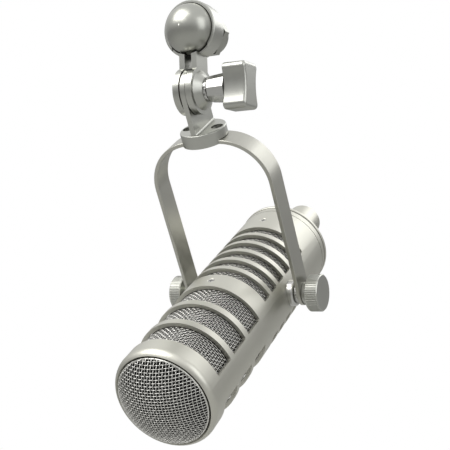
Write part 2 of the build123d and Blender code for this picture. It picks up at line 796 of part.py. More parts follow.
foam_radius = dome_flange_radius - clamp_ring_wall - foam_gap
with BuildPart() as pop_foam:
    with BuildSketch(station(clamp_ring_start)):
        Circle(foam_radius)
    extrude(amount=foam_thickness)
pop_foam.part.label = "pop_foam"
export_step(pop_foam.part, "parts/pop_foam.step")

lining_outer = sleeve_inner - mesh_gap
foam_lining_start = front_sleeve_start + mesh_gap
cradle_start = motor_station - cradle_length / 2
with BuildPart() as foam_lining:
    with BuildSketch(station(foam_lining_start)):
        Circle(lining_outer)
        Circle(lining_outer - lining_thickness, mode=Mode.SUBTRACT)
    extrude(amount=cradle_start - foam_gap - foam_lining_start)
foam_lining.part.label = "foam_lining"
export_step(foam_lining.part, "parts/foam_lining.step")

# ---------------------------------------------------------------- ribbon motor
motor_face = station(motor_station - motor_depth / 2)
notch_floor = station(motor_station + ribbon_thickness + ribbon_clamp_thickness + fit_gap)
window_width = frame_width - 2 * frame_side
window_height = frame_height - 2 * frame_end
clamp_centre = window_height / 2 + ribbon_clamp_depth / 2 + ribbon_clamp_gap
clamp_screw_spread = ribbon_clamp_width / 2 - clamp_screw_inset
clamp_places = [(0, end * clamp_centre) for end in (-1, 1)]
screw_places = [(x, end * clamp_centre) for x in (-clamp_screw_spread, clamp_screw_spread) for end in (-1, 1)]
with BuildPart() as motor_frame:
    with BuildSketch(motor_face):
        RectangleRounded(frame_width, frame_height, frame_corner_radius)
        Rectangle(window_width, window_height, mode=Mode.SUBTRACT)
    extrude(amount=motor_depth)
    with BuildSketch(notch_floor):
        with Locations((0, -window_height / 2 - frame_end / 2), (0, window_height / 2 + frame_end / 2)):
            Rectangle(ribbon_clamp_width, frame_end + 1)
    extrude(amount=-motor_depth, mode=Mode.SUBTRACT)
    with BuildSketch(motor_face):
        with Locations(*screw_places):
            Circle(small_screw_radius + fit_gap)
    extrude(amount=motor_depth, mode=Mode.SUBTRACT)
motor_frame.part.label = "motor_frame"
export_step(motor_frame.part, "parts/motor_frame.step")

magnet_centre = window_width / 2 - fit_gap - magnet_width / 2
pole_back = window_width / 2 - 2 * fit_gap - magnet_width
for sign, tag in ((1, "left"), (-1, "right")):
    with BuildPart() as magnet:
        with BuildSketch(motor_face):
            with Locations((sign * magnet_centre, 0)):
                Rectangle(magnet_width, window_height - 2 * fit_gap)
        extrude(amount=motor_depth)
    magnet.part.label = f"magnet_{tag}"
    export_step(magnet.part, f"parts/magnet_{tag}.step")

    with BuildPart() as pole_piece:
        with BuildSketch(Plane(origin=pivot + body_back * motor_station, x_dir=side, z_dir=body_up)
                         .offset(-window_height / 2 + fit_gap)):
            with BuildLine():
                Polyline(
                    (-sign * pole_back, -motor_depth / 2),
                    (-sign * pole_back, motor_depth / 2),
                    (-sign * (ribbon_width / 2 + pole_gap), pole_tip_thickness / 2),
                    (-sign * (ribbon_width / 2 + pole_gap), -pole_tip_thickness / 2),
                    close=True,
                )
            make_face()
        extrude(amount=window_height - 2 * fit_gap)
    pole_piece.part.label = f"pole_piece_{tag}"
    export_step(pole_piece.part, f"parts/pole_piece_{tag}.step")

ribbon_half = window_height / 2 + ribbon_clamp_depth
ribbon_folds = int(window_height / ribbon_pitch)
fold_length = window_height / ribbon_folds
with BuildPart() as ribbon:
    with BuildSketch(Plane(origin=pivot + body_back * motor_station, x_dir=body_back, z_dir=side)
                     .offset(-ribbon_width / 2)):
        front_edge = [(0, -ribbon_half), (0, -window_height / 2)]
        for fold in range(ribbon_folds):
            height = -window_height / 2 + (fold + 0.5) * fold_length
            front_edge.append((ribbon_wave * (-1) ** fold, height))
        front_edge += [(0, window_height / 2), (0, ribbon_half)]
        back_edge = [(x + ribbon_thickness, y) for x, y in reversed(front_edge)]
        with BuildLine():
            Polyline(*front_edge, *back_edge, close=True)
        make_face()
    extrude(amount=ribbon_width)
ribbon.part.label = "ribbon"
export_step(ribbon.part, "parts/ribbon.step")

front_clamps = station(motor_station - ribbon_clamp_thickness)
rear_clamps = station(motor_station + ribbon_thickness)
with BuildPart() as ribbon_clamps:
    for clamp_face in (front_clamps, rear_clamps):
        with BuildSketch(clamp_face):
            with Locations(*clamp_places):
                Rectangle(ribbon_clamp_width - 1.0, ribbon_clamp_depth)
            with Locations(*screw_places):
                Circle(small_screw_radius + fit_gap, mode=Mode.SUBTRACT)
        extrude(amount=ribbon_clamp_thickness)
ribbon_clamps.part.label = "ribbon_clamps"
export_step(ribbon_clamps.part, "parts/ribbon_clamps.step")

with BuildPart() as clamp_screws:
    with BuildSketch(front_clamps):
        with Locations(*screw_places):
            Circle(small_screw_head_radius)
            Rectangle(2 * small_screw_head_radius, small_screw_radius / 2, mode=Mode.SUBTRACT)
    extrude(amount=-small_screw_head_height)
    with BuildSketch(front_clamps.offset(-small_screw_head_height / 2)):
        with Locations(*screw_places):
            Circle(small_screw_head_radius)
    extrude(amount=small_screw_head_height / 2)
    with BuildSketch(front_clamps):
        with Locations(*screw_places):
            Circle(small_screw_radius)
    extrude(amount=small_screw_length)
clamp_screws.part.label = "clamp_screws"
export_step(clamp_screws.part, "parts/clamp_screws.step")

with BuildPart() as motor_screens:
    for start in (-motor_depth / 2 - screen_thickness - fit_gap, motor_depth / 2 + fit_gap):
        with BuildSketch(station(motor_station + start)):
            RectangleRounded(window_width + frame_side, window_height + screen_overlap, screen_corner_radius)
        extrude(amount=screen_thickness)
motor_screens.part.label = "motor_screens"
export_step(motor_screens.part, "parts/motor_screens.step")

# ---------------------------------------------------------------- cradle and shock rings
pocket_width = frame_width + 2 * fit_gap
pocket_height = frame_height + 2 * fit_gap
ring_bore = lining_outer
with BuildPart() as motor_cradle:
    with BuildSketch(station(cradle_start)):
        Circle(ring_bore - shock_ring_section)
        RectangleRounded(pocket_width, pocket_height, frame_corner_radius, mode=Mode.SUBTRACT)
    extrude(amount=cradle_length)
    for offset in (-shock_ring_offset, shock_ring_offset):
        with BuildSketch(station(motor_station + offset - shock_ring_section)):
            Circle(ring_bore)
            Circle(ring_bore - 2 * shock_ring_section, mode=Mode.SUBTRACT)
        extrude(amount=2 * shock_ring_section, mode=Mode.SUBTRACT)
motor_cradle.part.label = "motor_cradle"
export_step(motor_cradle.part, "parts/motor_cradle.step")

with BuildPart() as shock_rings:
    for offset in (-shock_ring_offset, shock_ring_offset):
        with BuildSketch(body_turned):
            with Locations((motor_station + offset, ring_bore - shock_ring_section)):
                Circle(shock_ring_section)
        revolve(axis=body_axis)
shock_rings.part.label = "shock_rings"
export_step(shock_rings.part, "parts/shock_rings.step")

# ---------------------------------------------------------------- bulkhead, acoustic cup, felt
bulkhead_start = front_windows_end + sleeve_overlap + mesh_gap
bulkhead_thickness = band_between_windows - 2 * (sleeve_overlap + mesh_gap)
with BuildPart() as bulkhead:
    with BuildSketch(station(bulkhead_start)):
        Circle(tube_bore - fit_gap)
        with PolarLocations(bulkhead_vent_circle, bulkhead_vent_count):
            Circle(bulkhead_vent_radius, mode=Mode.SUBTRACT)
        with Locations(*[across(lead_run_radius, angle) for angle in motor_lead_angles]):
            Circle(lead_radius + mesh_gap, mode=Mode.SUBTRACT)
    extrude(amount=bulkhead_thickness)
    for angle in (90, 270):
        with BuildSketch(radial(front_screw_station, angle)):
            Circle(body_screw_radius + fit_gap)
        extrude(amount=tube_radius, mode=Mode.SUBTRACT)
bulkhead.part.label = "bulkhead"
export_step(bulkhead.part, "parts/bulkhead.step")

cup_start = bulkhead_start - cup_length - fit_gap
with BuildPart() as acoustic_cup:
    with BuildSketch(station(cup_start)):
        Circle(cup_radius)
    extrude(amount=cup_length)
    with BuildSketch(station(cup_start + cup_wall)):
        Circle(cup_radius - cup_wall)
    extrude(amount=cup_length, mode=Mode.SUBTRACT)
    with BuildSketch(station(cup_start)):
        Circle(cup_radius / 4)
    extrude(amount=cup_wall, mode=Mode.SUBTRACT)
acoustic_cup.part.label = "acoustic_cup"
export_step(acoustic_cup.part, "parts/acoustic_cup.step")

with BuildPart() as damping_felt:
    with BuildSketch(station(cup_start + cup_wall + fit_gap)):
        Circle(cup_radius - cup_wall - mesh_gap)
        Circle(cup_radius / 4, mode=Mode.SUBTRACT)
    extrude(amount=felt_thickness)
damping_felt.part.label = "damping_felt"
export_step(damping_felt.part, "parts/damping_felt.step")

# ---------------------------------------------------------------- transformer
core_start = transformer_start + (can_length - core_length) / 2
with BuildPart() as transformer_can:
    with BuildSketch(station(transformer_start)):
        Circle(can_radius)
    extrude(amount=can_length)
    with BuildSketch(station(transformer_start + can_wall)):
        Circle(can_radius - can_wall)
    extrude(amount=can_length, mode=Mode.SUBTRACT)
transformer_can.part.label = "transformer_can"
export_step(transformer_can.part, "parts/transformer_can.step")

with BuildPart() as transformer_core:
    with BuildSketch(Plane(origin=pivot + body_back * core_start, x_dir=body_back, z_dir=side)
                     .offset(-core_width / 2)):
        with Locations((core_length / 2, 0)):
            Rectangle(core_length, core_height)
            for end in (-1, 1):
                with Locations((0, end * core_height / 4)):
                    Rectangle(core_length - 2 * core_limb, core_height / 2 - core_limb, mode=Mode.SUBTRACT)
    extrude(amount=core_width)
transformer_core.part.label = "transformer_core"
export_step(transformer_core.part, "parts/transformer_core.step")

coil_room = core_length - 2 * core_limb - 2 * fit_gap
with BuildPart() as transformer_coil:
    with BuildSketch(station(core_start + core_limb + fit_gap)):
        RectangleRounded(core_width + 2 * coil_wall, core_limb + 2 * coil_wall, coil_corner_radius)
        Rectangle(core_width + 2 * fit_gap, core_limb + 2 * fit_gap, mode=Mode.SUBTRACT)
    extrude(amount=coil_room)
transformer_coil.part.label = "transformer_coil"
export_step(transformer_coil.part, "parts/transformer_coil.step")

# ---------------------------------------------------------------- terminal board and leads
post_angles = motor_lead_angles + coil_lead_angles
post_places = [across(post_circle, angle) for angle in post_angles]
with BuildPart() as terminal_board:
    with BuildSketch(station(board_station)):
        Circle(tube_bore - fit_gap - tail_spigot_wall - fit_gap)
        with Locations(*post_places):
            Circle(post_radius + fit_gap, mode=Mode.SUBTRACT)
    extrude(amount=board_thickness)
terminal_board.part.label = "terminal_board"
export_step(terminal_board.part, "parts/terminal_board.step")

with BuildPart() as terminal_posts:
    with BuildSketch(station(board_station - post_length / 2)):
        with Locations(*post_places):
            Circle(post_radius)
    extrude(amount=post_length + board_thickness)
terminal_posts.part.label = "terminal_posts"
export_step(terminal_posts.part, "parts/terminal_posts.step")

post_front = board_station - post_length / 2
post_rear = post_front + post_length + board_thickness


motor_lead_start = motor_station + motor_depth / 2
motor_lead_radius = frame_height / 2 - frame_end / 2 + lead_above_frame
spigot_start = tube_back - tail_spigot_length
with BuildPart() as motor_leads:
    for angle in motor_lead_angles:
        with BuildLine() as route:
            FilletPolyline(
                around(motor_lead_start, motor_lead_radius, angle),
                around(cup_start - lead_slope - lead_straight, motor_lead_radius, angle),
                around(cup_start - lead_straight, lead_run_radius, angle),
                around(spigot_start - lead_slope - lead_straight, lead_run_radius, angle),
                around(spigot_start - lead_tip, post_circle, angle),
                around(post_front, post_circle, angle),
                radius=lead_bend,
            )
        with BuildSketch(station(motor_lead_start)):
            with Locations(across(motor_lead_radius, angle)):
                Circle(lead_radius)
        sweep(path=route.wires()[0])
motor_leads.part.label = "motor_leads"
export_step(motor_leads.part, "parts/motor_leads.step")

coil_end = core_start + core_limb + fit_gap + coil_room
coil_lead_radius = core_width / 2 + coil_wall / 2
with BuildPart() as coil_leads:
    for angle in coil_lead_angles:
        with BuildLine() as route:
            FilletPolyline(
                around(coil_end, coil_lead_radius, angle),
                around(post_front - 2 * lead_slope, coil_lead_radius, angle),
                around(post_front - lead_slope, post_circle, angle),
                around(post_front, post_circle, angle),
                radius=lead_bend,
            )
        with BuildSketch(station(coil_end)):
            with Locations(across(coil_lead_radius, angle)):
                Circle(lead_radius)
        sweep(path=route.wires()[0])
coil_leads.part.label = "coil_leads"
export_step(coil_leads.part, "parts/coil_leads.step")

# ---------------------------------------------------------------- tail cap
gasket_back = tube_back + gasket_thickness
rim_back = gasket_back + tail_rim_thickness
cap_back = rim_back + tail_dome_height
spigot_radius = tube_bore - fit_gap
with BuildPart() as tail_gasket:
    with BuildSketch(station(tube_back)):
        Circle(tube_radius - gasket_inset)
        Circle(spigot_radius + fit_gap, mode=Mode.SUBTRACT)
    extrude(amount=gasket_thickness)
tail_gasket.part.label = "tail_gasket"
export_step(tail_gasket.part, "parts/tail_gasket.step")

with BuildPart() as tail_cap:
    with BuildSketch(body_turned):
        with BuildLine():
            Polyline(
                (cap_back, barrel_radius + fit_gap),
                (gasket_back, barrel_radius + fit_gap),
                (gasket_back, spigot_radius - tail_spigot_wall),
                (spigot_start, spigot_radius - tail_spigot_wall),
                (spigot_start, spigot_radius),
                (gasket_back, spigot_radius),
                (gasket_back, tail_rim_radius - tail_rim_front_chamfer),
                (gasket_back + tail_rim_front_chamfer, tail_rim_radius),
                (rim_back - tail_rim_back_chamfer, tail_rim_radius),
                (rim_back, tail_rim_radius - tail_rim_back_chamfer),
            )
            ThreePointArc(
                (rim_back, tail_rim_radius - tail_rim_back_chamfer),
                (rim_back + tail_dome_share * tail_dome_height, (tail_rim_radius + tail_dome_rim) / 2),
                (cap_back, tail_dome_rim),
            )
            Line((cap_back, tail_dome_rim), (cap_back, barrel_radius + fit_gap))
        make_face()
    revolve(axis=body_axis)
    with BuildSketch(station(gasket_back)):
        with PolarLocations(tail_screw_circle, tail_screw_count):
            Circle(tail_screw_radius + fit_gap)
    extrude(amount=tail_screw_length - barrel_flange_thickness + fit_gap, mode=Mode.SUBTRACT)
    for angle in (90, 270):
        with BuildSketch(radial(rear_screw_station, angle)):
            Circle(body_screw_radius + fit_gap)
        extrude(amount=tube_radius, mode=Mode.SUBTRACT)
tail_cap.part.label = "tail_cap"
export_step(tail_cap.part, "parts/tail_cap.step")

# ---------------------------------------------------------------- connector
barrel_start = gasket_back
barrel_end = barrel_start + barrel_length
insert_start = barrel_end - barrel_bore_depth - insert_thickness
with BuildPart() as connector_barrel:
    with BuildSketch(station(barrel_start - barrel_flange_thickness)):
        Circle(barrel_flange_radius)
        with PolarLocations(tail_screw_circle, tail_screw_count):
            Circle(tail_screw_radius + fit_gap, mode=Mode.SUBTRACT)
    extrude(amount=barrel_flange_thickness)
    with BuildSketch(station(barrel_start)):
        Circle(barrel_radius)
    extrude(amount=barrel_length)
    chamfer(connector_barrel.faces().sort_by(body_axis)[-1].edges(), barrel_edge)
    with BuildSketch(station(barrel_start - barrel_flange_thickness)):
        Circle(barrel_wire_bore_radius)
    extrude(amount=barrel_length + barrel_flange_thickness, mode=Mode.SUBTRACT)
    with BuildSketch(station(insert_start)):
        Circle(barrel_bore_radius)
    extrude(amount=barrel_bore_depth + insert_thickness, mode=Mode.SUBTRACT)
    with BuildSketch(station(barrel_end)):
        with Locations((0, barrel_bore_radius)):
            Rectangle(latch_slot_width, 2 * latch_slot_depth)
    extrude(amount=-latch_slot_length, mode=Mode.SUBTRACT)
connector_barrel.part.label = "connector_barrel"
export_step(connector_barrel.part, "parts/connector_barrel.step")

pin_places = [across(pin_circle, angle) for angle in pin_angles]
with BuildPart() as connector_insert:
    with BuildSketch(station(insert_start)):
        Circle(barrel_bore_radius - fit_gap)
        with Locations(*pin_places):
            Circle(pin_radius + fit_gap, mode=Mode.SUBTRACT)
    extrude(amount=insert_thickness)
connector_insert.part.label = "connector_insert"
export_step(connector_insert.part, "parts/connector_insert.step")

with BuildPart() as connector_pins:
    with BuildSketch(station(insert_start - pin_tail)):
        with Locations(*pin_places):
            Circle(pin_radius)
    extrude(amount=pin_tail + insert_thickness + pin_length)
    tips = connector_pins.faces().sort_by(body_axis)[-len(pin_places):]
    chamfer(tips.edges(), pin_chamfer)
connector_pins.part.label = "connector_pins"
export_step(connector_pins.part, "parts/connector_pins.step")

with BuildPart() as connector_leads:
    used_posts = (motor_lead_angles[0], coil_lead_angles[1], motor_lead_angles[1])
    for post_angle, pin_angle in zip(used_posts, pin_angles):
        with BuildLine() as route:
            FilletPolyline(
                around(post_rear, post_circle, post_angle),
                around(post_rear + lead_straight + lead_tip, post_circle, post_angle),
                around(barrel_start - lead_straight - lead_tip, pin_circle, pin_angle),
                around(insert_start - pin_tail, pin_circle, pin_angle),
                radius=lead_bend,
            )
        with BuildSketch(station(post_rear)):
            with Locations(across(post_circle, post_angle)):
                Circle(lead_radius)
        sweep(path=route.wires()[0])
connector_leads.part.label = "connector_leads"
export_step(connector_leads.part, "parts/connector_leads.step")

with BuildPart() as tail_screws:
    with BuildSketch(station(barrel_start - barrel_flange_thickness)):
        with PolarLocations(tail_screw_circle, tail_screw_count):
            Circle(tail_screw_head_radius)
    extrude(amount=-tail_screw_head_height)
    with BuildSketch(station(barrel_start - barrel_flange_thickness)):
        with PolarLocations(tail_screw_circle, tail_screw_count):
            Circle(tail_screw_radius)
    extrude(amount=tail_screw_length)
tail_screws.part.label = "tail_screws"
export_step(tail_screws.part, "parts/tail_screws.step")

# ---------------------------------------------------------------- pivots on both sides
bush_flange_end = sqrt(tube_bore ** 2 - bush_flange_radius ** 2) - fit_gap
bush_end = sqrt(tube_radius ** 2 - bush_radius ** 2) - fit_gap
washer_start = saddle_end + fit_gap
washer_end = arm_inner - arm_gap
stud_start = bush_start + stud_inset
knob_end = knob_start + knob_collar_length + knob_width
stud_end = knob_start + knob_collar_length + knob_width / 2
for angle, tag in ((180, "left"), (0, "right")):
    outward = radial(0, angle)
    outward_axis = Axis(pivot, outward.z_dir)
    turned = Plane(origin=pivot, x_dir=outward.z_dir, z_dir=body_up)
    with BuildPart() as pivot_bush:
        with BuildSketch(outward.offset(bush_start)):
            Circle(bush_radius)
        extrude(amount=bush_end - bush_start)
        with BuildSketch(outward.offset(bush_flange_end - bush_flange_thickness)):
            Circle(bush_flange_radius)
        extrude(amount=bush_flange_thickness)
        with BuildSketch(outward.offset(bush_start)):
            Circle(stud_radius + stud_clearance)
        extrude(amount=bush_end, mode=Mode.SUBTRACT)
    pivot_bush.part.label = f"pivot_bush_{tag}"
    export_step(pivot_bush.part, f"parts/pivot_bush_{tag}.step")

    with BuildPart() as saddle_spacer:
        with BuildSketch(turned):
            with BuildLine():
                Polyline(
                    (tube_radius - saddle_skirt, stud_radius + stud_clearance),
                    (tube_radius - saddle_skirt, saddle_radius),
                    (tube_radius + saddle_height / 2, saddle_radius),
                )
                ThreePointArc(
                    (tube_radius + saddle_height / 2, saddle_radius),
                    (saddle_end - saddle_shoulder_drop, saddle_radius - saddle_shoulder_inset),
                    (saddle_end, saddle_top_radius),
                )
                Polyline(
                    (saddle_end, saddle_top_radius),
                    (saddle_end, stud_radius + stud_clearance),
                    (tube_radius - saddle_skirt, stud_radius + stud_clearance),
                )
            make_face()
        revolve(axis=outward_axis)
        with BuildSketch(station(-tube_radius)):
            Circle(tube_radius)
        extrude(amount=2 * tube_radius, mode=Mode.SUBTRACT)
    saddle_spacer.part.label = f"saddle_spacer_{tag}"
    export_step(saddle_spacer.part, f"parts/saddle_spacer_{tag}.step")

    with BuildPart() as pivot_washer:
        with BuildSketch(outward.offset(washer_start)):
            Circle(washer_radius)
        extrude(amount=washer_end - washer_start)
        chamfer(pivot_washer.edges().filter_by(GeomType.CIRCLE), washer_chamfer)
        with BuildSketch(outward.offset(washer_start)):
            with PolarLocations(washer_radius, washer_flutes):
                Circle(washer_flute_radius)
            Circle(stud_radius + stud_clearance)
        extrude(amount=washer_end - washer_start, mode=Mode.SUBTRACT)
    pivot_washer.part.label = f"pivot_washer_{tag}"
    export_step(pivot_washer.part, f"parts/pivot_washer_{tag}.step")

    with BuildPart() as thumb_knob:
        with BuildSketch(outward.offset(knob_start)):
            Circle(knob_collar_radius)
        extrude(amount=knob_collar_length)
        with BuildSketch(outward.offset(knob_start + knob_collar_length)):
            Circle(knob_radius)
        extrude(amount=knob_width)
        rims = thumb_knob.edges().filter_by(lambda e: abs(e.length - 2 * pi * knob_radius) < fit_gap)
        chamfer(rims, knob_edge_chamfer)
        with BuildSketch(outward.offset(knob_start + knob_collar_length)):
            with PolarLocations(knob_radius, knob_flutes):
                Circle(knob_flute_radius)
        extrude(amount=knob_width, mode=Mode.SUBTRACT)
        with BuildSketch(outward.offset(knob_start)):
            Circle(stud_radius + fit_gap)
        extrude(amount=stud_end - knob_start + fit_gap, mode=Mode.SUBTRACT)
    thumb_knob.part.label = f"thumb_knob_{tag}"
    export_step(thumb_knob.part, f"parts/thumb_knob_{tag}.step")

    with BuildPart() as knob_stud:
        with BuildSketch(outward.offset(stud_start)):
            Circle(stud_radius)
        extrude(amount=stud_end - stud_start)
        chamfer(knob_stud.faces().sort_by(outward_axis)[0].edges(), stud_chamfer)
    knob_stud.part.label = f"knob_stud_{tag}"
    export_step(knob_stud.part, f"parts/knob_stud_{tag}.step")
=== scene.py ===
"""Looks of a ribbon microphone hung in a yoke from a ball mount.

Metres, +Z up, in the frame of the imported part.  The microphone leans down towards -Y,
the yoke carries it between two thumb knobs, and the ball mount is above.
"""

import json
import logging
import math
from dataclasses import dataclass, field
from enum import Enum
from typing import Callable, Iterable, Sequence

import bpy
import numpy as np
from mathutils import Matrix, Vector

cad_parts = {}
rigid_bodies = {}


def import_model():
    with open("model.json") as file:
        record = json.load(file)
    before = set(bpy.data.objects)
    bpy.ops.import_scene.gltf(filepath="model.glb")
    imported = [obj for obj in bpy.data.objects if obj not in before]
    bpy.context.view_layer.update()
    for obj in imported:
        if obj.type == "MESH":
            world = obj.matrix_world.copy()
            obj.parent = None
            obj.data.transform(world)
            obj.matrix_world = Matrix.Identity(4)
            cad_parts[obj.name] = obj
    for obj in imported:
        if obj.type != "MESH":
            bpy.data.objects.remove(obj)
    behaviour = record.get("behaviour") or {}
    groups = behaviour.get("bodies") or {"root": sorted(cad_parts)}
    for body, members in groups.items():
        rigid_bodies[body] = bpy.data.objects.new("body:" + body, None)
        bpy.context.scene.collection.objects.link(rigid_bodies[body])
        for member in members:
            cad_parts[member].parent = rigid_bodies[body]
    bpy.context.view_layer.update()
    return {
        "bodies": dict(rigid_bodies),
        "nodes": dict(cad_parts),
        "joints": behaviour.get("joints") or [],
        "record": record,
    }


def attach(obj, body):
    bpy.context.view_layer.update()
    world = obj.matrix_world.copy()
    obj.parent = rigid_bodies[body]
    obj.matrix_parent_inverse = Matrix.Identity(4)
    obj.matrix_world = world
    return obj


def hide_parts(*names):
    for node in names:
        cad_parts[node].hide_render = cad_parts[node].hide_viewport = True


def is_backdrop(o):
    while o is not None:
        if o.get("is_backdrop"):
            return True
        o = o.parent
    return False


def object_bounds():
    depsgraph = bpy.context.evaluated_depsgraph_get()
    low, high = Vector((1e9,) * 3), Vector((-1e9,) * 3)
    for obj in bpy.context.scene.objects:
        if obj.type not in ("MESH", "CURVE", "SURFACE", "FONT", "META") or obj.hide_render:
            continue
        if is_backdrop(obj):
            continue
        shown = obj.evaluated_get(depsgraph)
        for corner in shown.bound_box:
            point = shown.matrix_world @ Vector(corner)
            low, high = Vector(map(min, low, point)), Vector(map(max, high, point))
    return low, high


LOG = logging.getLogger("microphone")
MM = 0.001
BLASTED_DRIFT, CAST_DRIFT = 60.0, 240.0     # slow unevenness across a surface, per metre
CLOUD_DARK, CLOUD_LIGHT = 0.93, 1.05        # handling marks, as shares of the finish's colour
MARK_SHARE, MARK_LIGHT = 0.5, 1.1           # how much tool marks show, and how light they are
WEAVE_MARGIN = 0.8 * MM                     # bare tube beyond the weave at each end
FRONT_WEAVE_RAIL, REAR_WEAVE_RAIL = math.radians(13.0), math.radians(20.0)

Colour = tuple[float, float, float]
Route = tuple[np.ndarray, np.ndarray]


# ---------------------------------------------------------------- the frame
@dataclass(frozen=True)
class Axes:
    """The microphone's own directions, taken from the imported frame.

    Distances along it run from the pivot, positive to the tail.
    """

    pivot: Vector
    lean: float = math.radians(25.0)
    yoke_lean: float = math.radians(27.9)

    @classmethod
    def of(cls, frame: dict) -> "Axes":
        """Reads the pivot from the joint that pitches the body."""
        pitch = next(joint for joint in frame["joints"] if joint["name"] == "body_pitch")
        return cls(pivot=Vector(pitch["pos_m"]))

    @property
    def back(self) -> Vector:
        """Direction from the dome to the tail."""
        return Vector((0.0, math.cos(self.lean), math.sin(self.lean)))

    @property
    def up(self) -> Vector:
        """Direction out of the top of the body."""
        return Vector((0.0, -math.sin(self.lean), math.cos(self.lean)))

    @property
    def side(self) -> Vector:
        """Direction of the pivot, towards the right-hand knob."""
        return Vector((1.0, 0.0, 0.0))

    @property
    def yoke_back(self) -> Vector:
        """Direction across the yoke strap's width."""
        return Vector((0.0, math.cos(self.yoke_lean), math.sin(self.yoke_lean)))

    def place(self, along: np.ndarray, out: np.ndarray, angle: np.ndarray) -> np.ndarray:
        """Points given round the microphone's axis.

        Args:
            along: Distances from the pivot to the tail.
            out: Distances from the axis.
            angle: Angles in radians from the right-hand side to the top.

        Returns:
            An array of points, one row each.
        """
        along, out, angle = np.broadcast_arrays(along, out, angle)
        across = (out * np.cos(angle))[..., None] * np.array(self.side)
        rise = (out * np.sin(angle))[..., None] * np.array(self.up)
        return np.array(self.pivot) + along[..., None] * np.array(self.back) + across + rise

    def outward(self, angle: np.ndarray) -> np.ndarray:
        """Unit directions away from the microphone's axis at the given angles."""
        angle = np.asarray(angle)
        return np.cos(angle)[..., None] * np.array(self.side) + np.sin(angle)[..., None] * np.array(self.up)


# ---------------------------------------------------------------- mesh making
def mesh_object(name: str, points: np.ndarray, faces: Iterable[Sequence[int]]) -> bpy.types.Object:
    """Makes a smooth-shaded object from points and faces.

    Args:
        name: The piece's name.
        points: One row for each vertex.
        faces: Vertex numbers of each face.

    Returns:
        The object, linked to the scene.
    """
    mesh = bpy.data.meshes.new(name)
    mesh.from_pydata(np.asarray(points).tolist(), [], [list(face) for face in faces])
    mesh.polygons.foreach_set("use_smooth", [True] * len(mesh.polygons))
    mesh.update()
    piece = bpy.data.objects.new(name, mesh)
    bpy.context.scene.collection.objects.link(piece)
    return piece


def grid_faces(rows: int, columns: int, first: int = 0, wraps: bool = True) -> np.ndarray:
    """Quads of a grid of vertices.

    Args:
        rows: Number of rows of vertices.
        columns: Number of vertices in a row.
        first: Number of the first vertex.
        wraps: Whether each row closes on itself.

    Returns:
        An array of faces, four vertex numbers each.
    """
    reach = columns if wraps else columns - 1
    row, column = np.meshgrid(np.arange(rows - 1), np.arange(reach), indexing="ij")
    following = (column + 1) % columns
    corners = [row * columns + column, row * columns + following,
               (row + 1) * columns + following, (row + 1) * columns + column]
    return first + np.stack(corners, axis=-1).reshape(-1, 4)


def wires(name: str, routes: Iterable[Route], radius: float, sides: int) -> bpy.types.Object:
    """Round wires along a set of routes, as one piece.

    Args:
        name: The piece's name.
        routes: Points of each wire, and the direction away from the cloth at each point.
        radius: Radius of the wire.
        sides: Number of sides of its section.

    Returns:
        The object.
    """
    turn = np.linspace(0.0, 2.0 * math.pi, sides, endpoint=False)
    points: list[np.ndarray] = []
    faces: list[np.ndarray] = []
    count = 0
    for path, outward in routes:
        run = np.gradient(path, axis=0)
        run /= np.linalg.norm(run, axis=1, keepdims=True)
        rise = outward - np.sum(outward * run, axis=1, keepdims=True) * run
        rise /= np.linalg.norm(rise, axis=1, keepdims=True)
        across = np.cross(run, rise)
        ring = (path[:, None] + radius * (np.cos(turn)[None, :, None] * rise[:, None]
                                          + np.sin(turn)[None, :, None] * across[:, None]))
        points.append(ring.reshape(-1, 3))
        faces.append(grid_faces(len(path), sides, count))
        count += len(path) * sides
    return mesh_object(name, np.concatenate(points), np.concatenate(faces))


def shell(name: str, axes: Axes, outline: Sequence[tuple[float, float]],
          steps: int = 96) -> bpy.types.Object:
    """A piece turned round the microphone's axis.

    Args:
        name: The piece's name.
        axes: The microphone's directions.
        outline: Distances along the axis and from it, in order.
        steps: Number of divisions round the axis.

    Returns:
        The object.
    """
    along, out = np.array(outline).T
    angle = np.linspace(0.0, 2.0 * math.pi, steps, endpoint=False)
    points = axes.place(along[:, None], out[:, None], angle[None, :])
    return mesh_object(name, points.reshape(-1, 3), grid_faces(len(outline), steps))


# ---------------------------------------------------------------- effects shared by the finishes
class Effect(Enum):
    """Shader groups that several finishes share."""

    BLASTED_GRAIN = "blasted grain"
    DRAWN_LINES = "drawn lines"
    TURNED_RINGS = "turned rings"
    HANDLING = "handling marks"
    # corners made lighter, and painted shade darkening creases
    EDGE_LIGHT_AND_CREASE_SHADE = "lighter edges and painted crease shade"


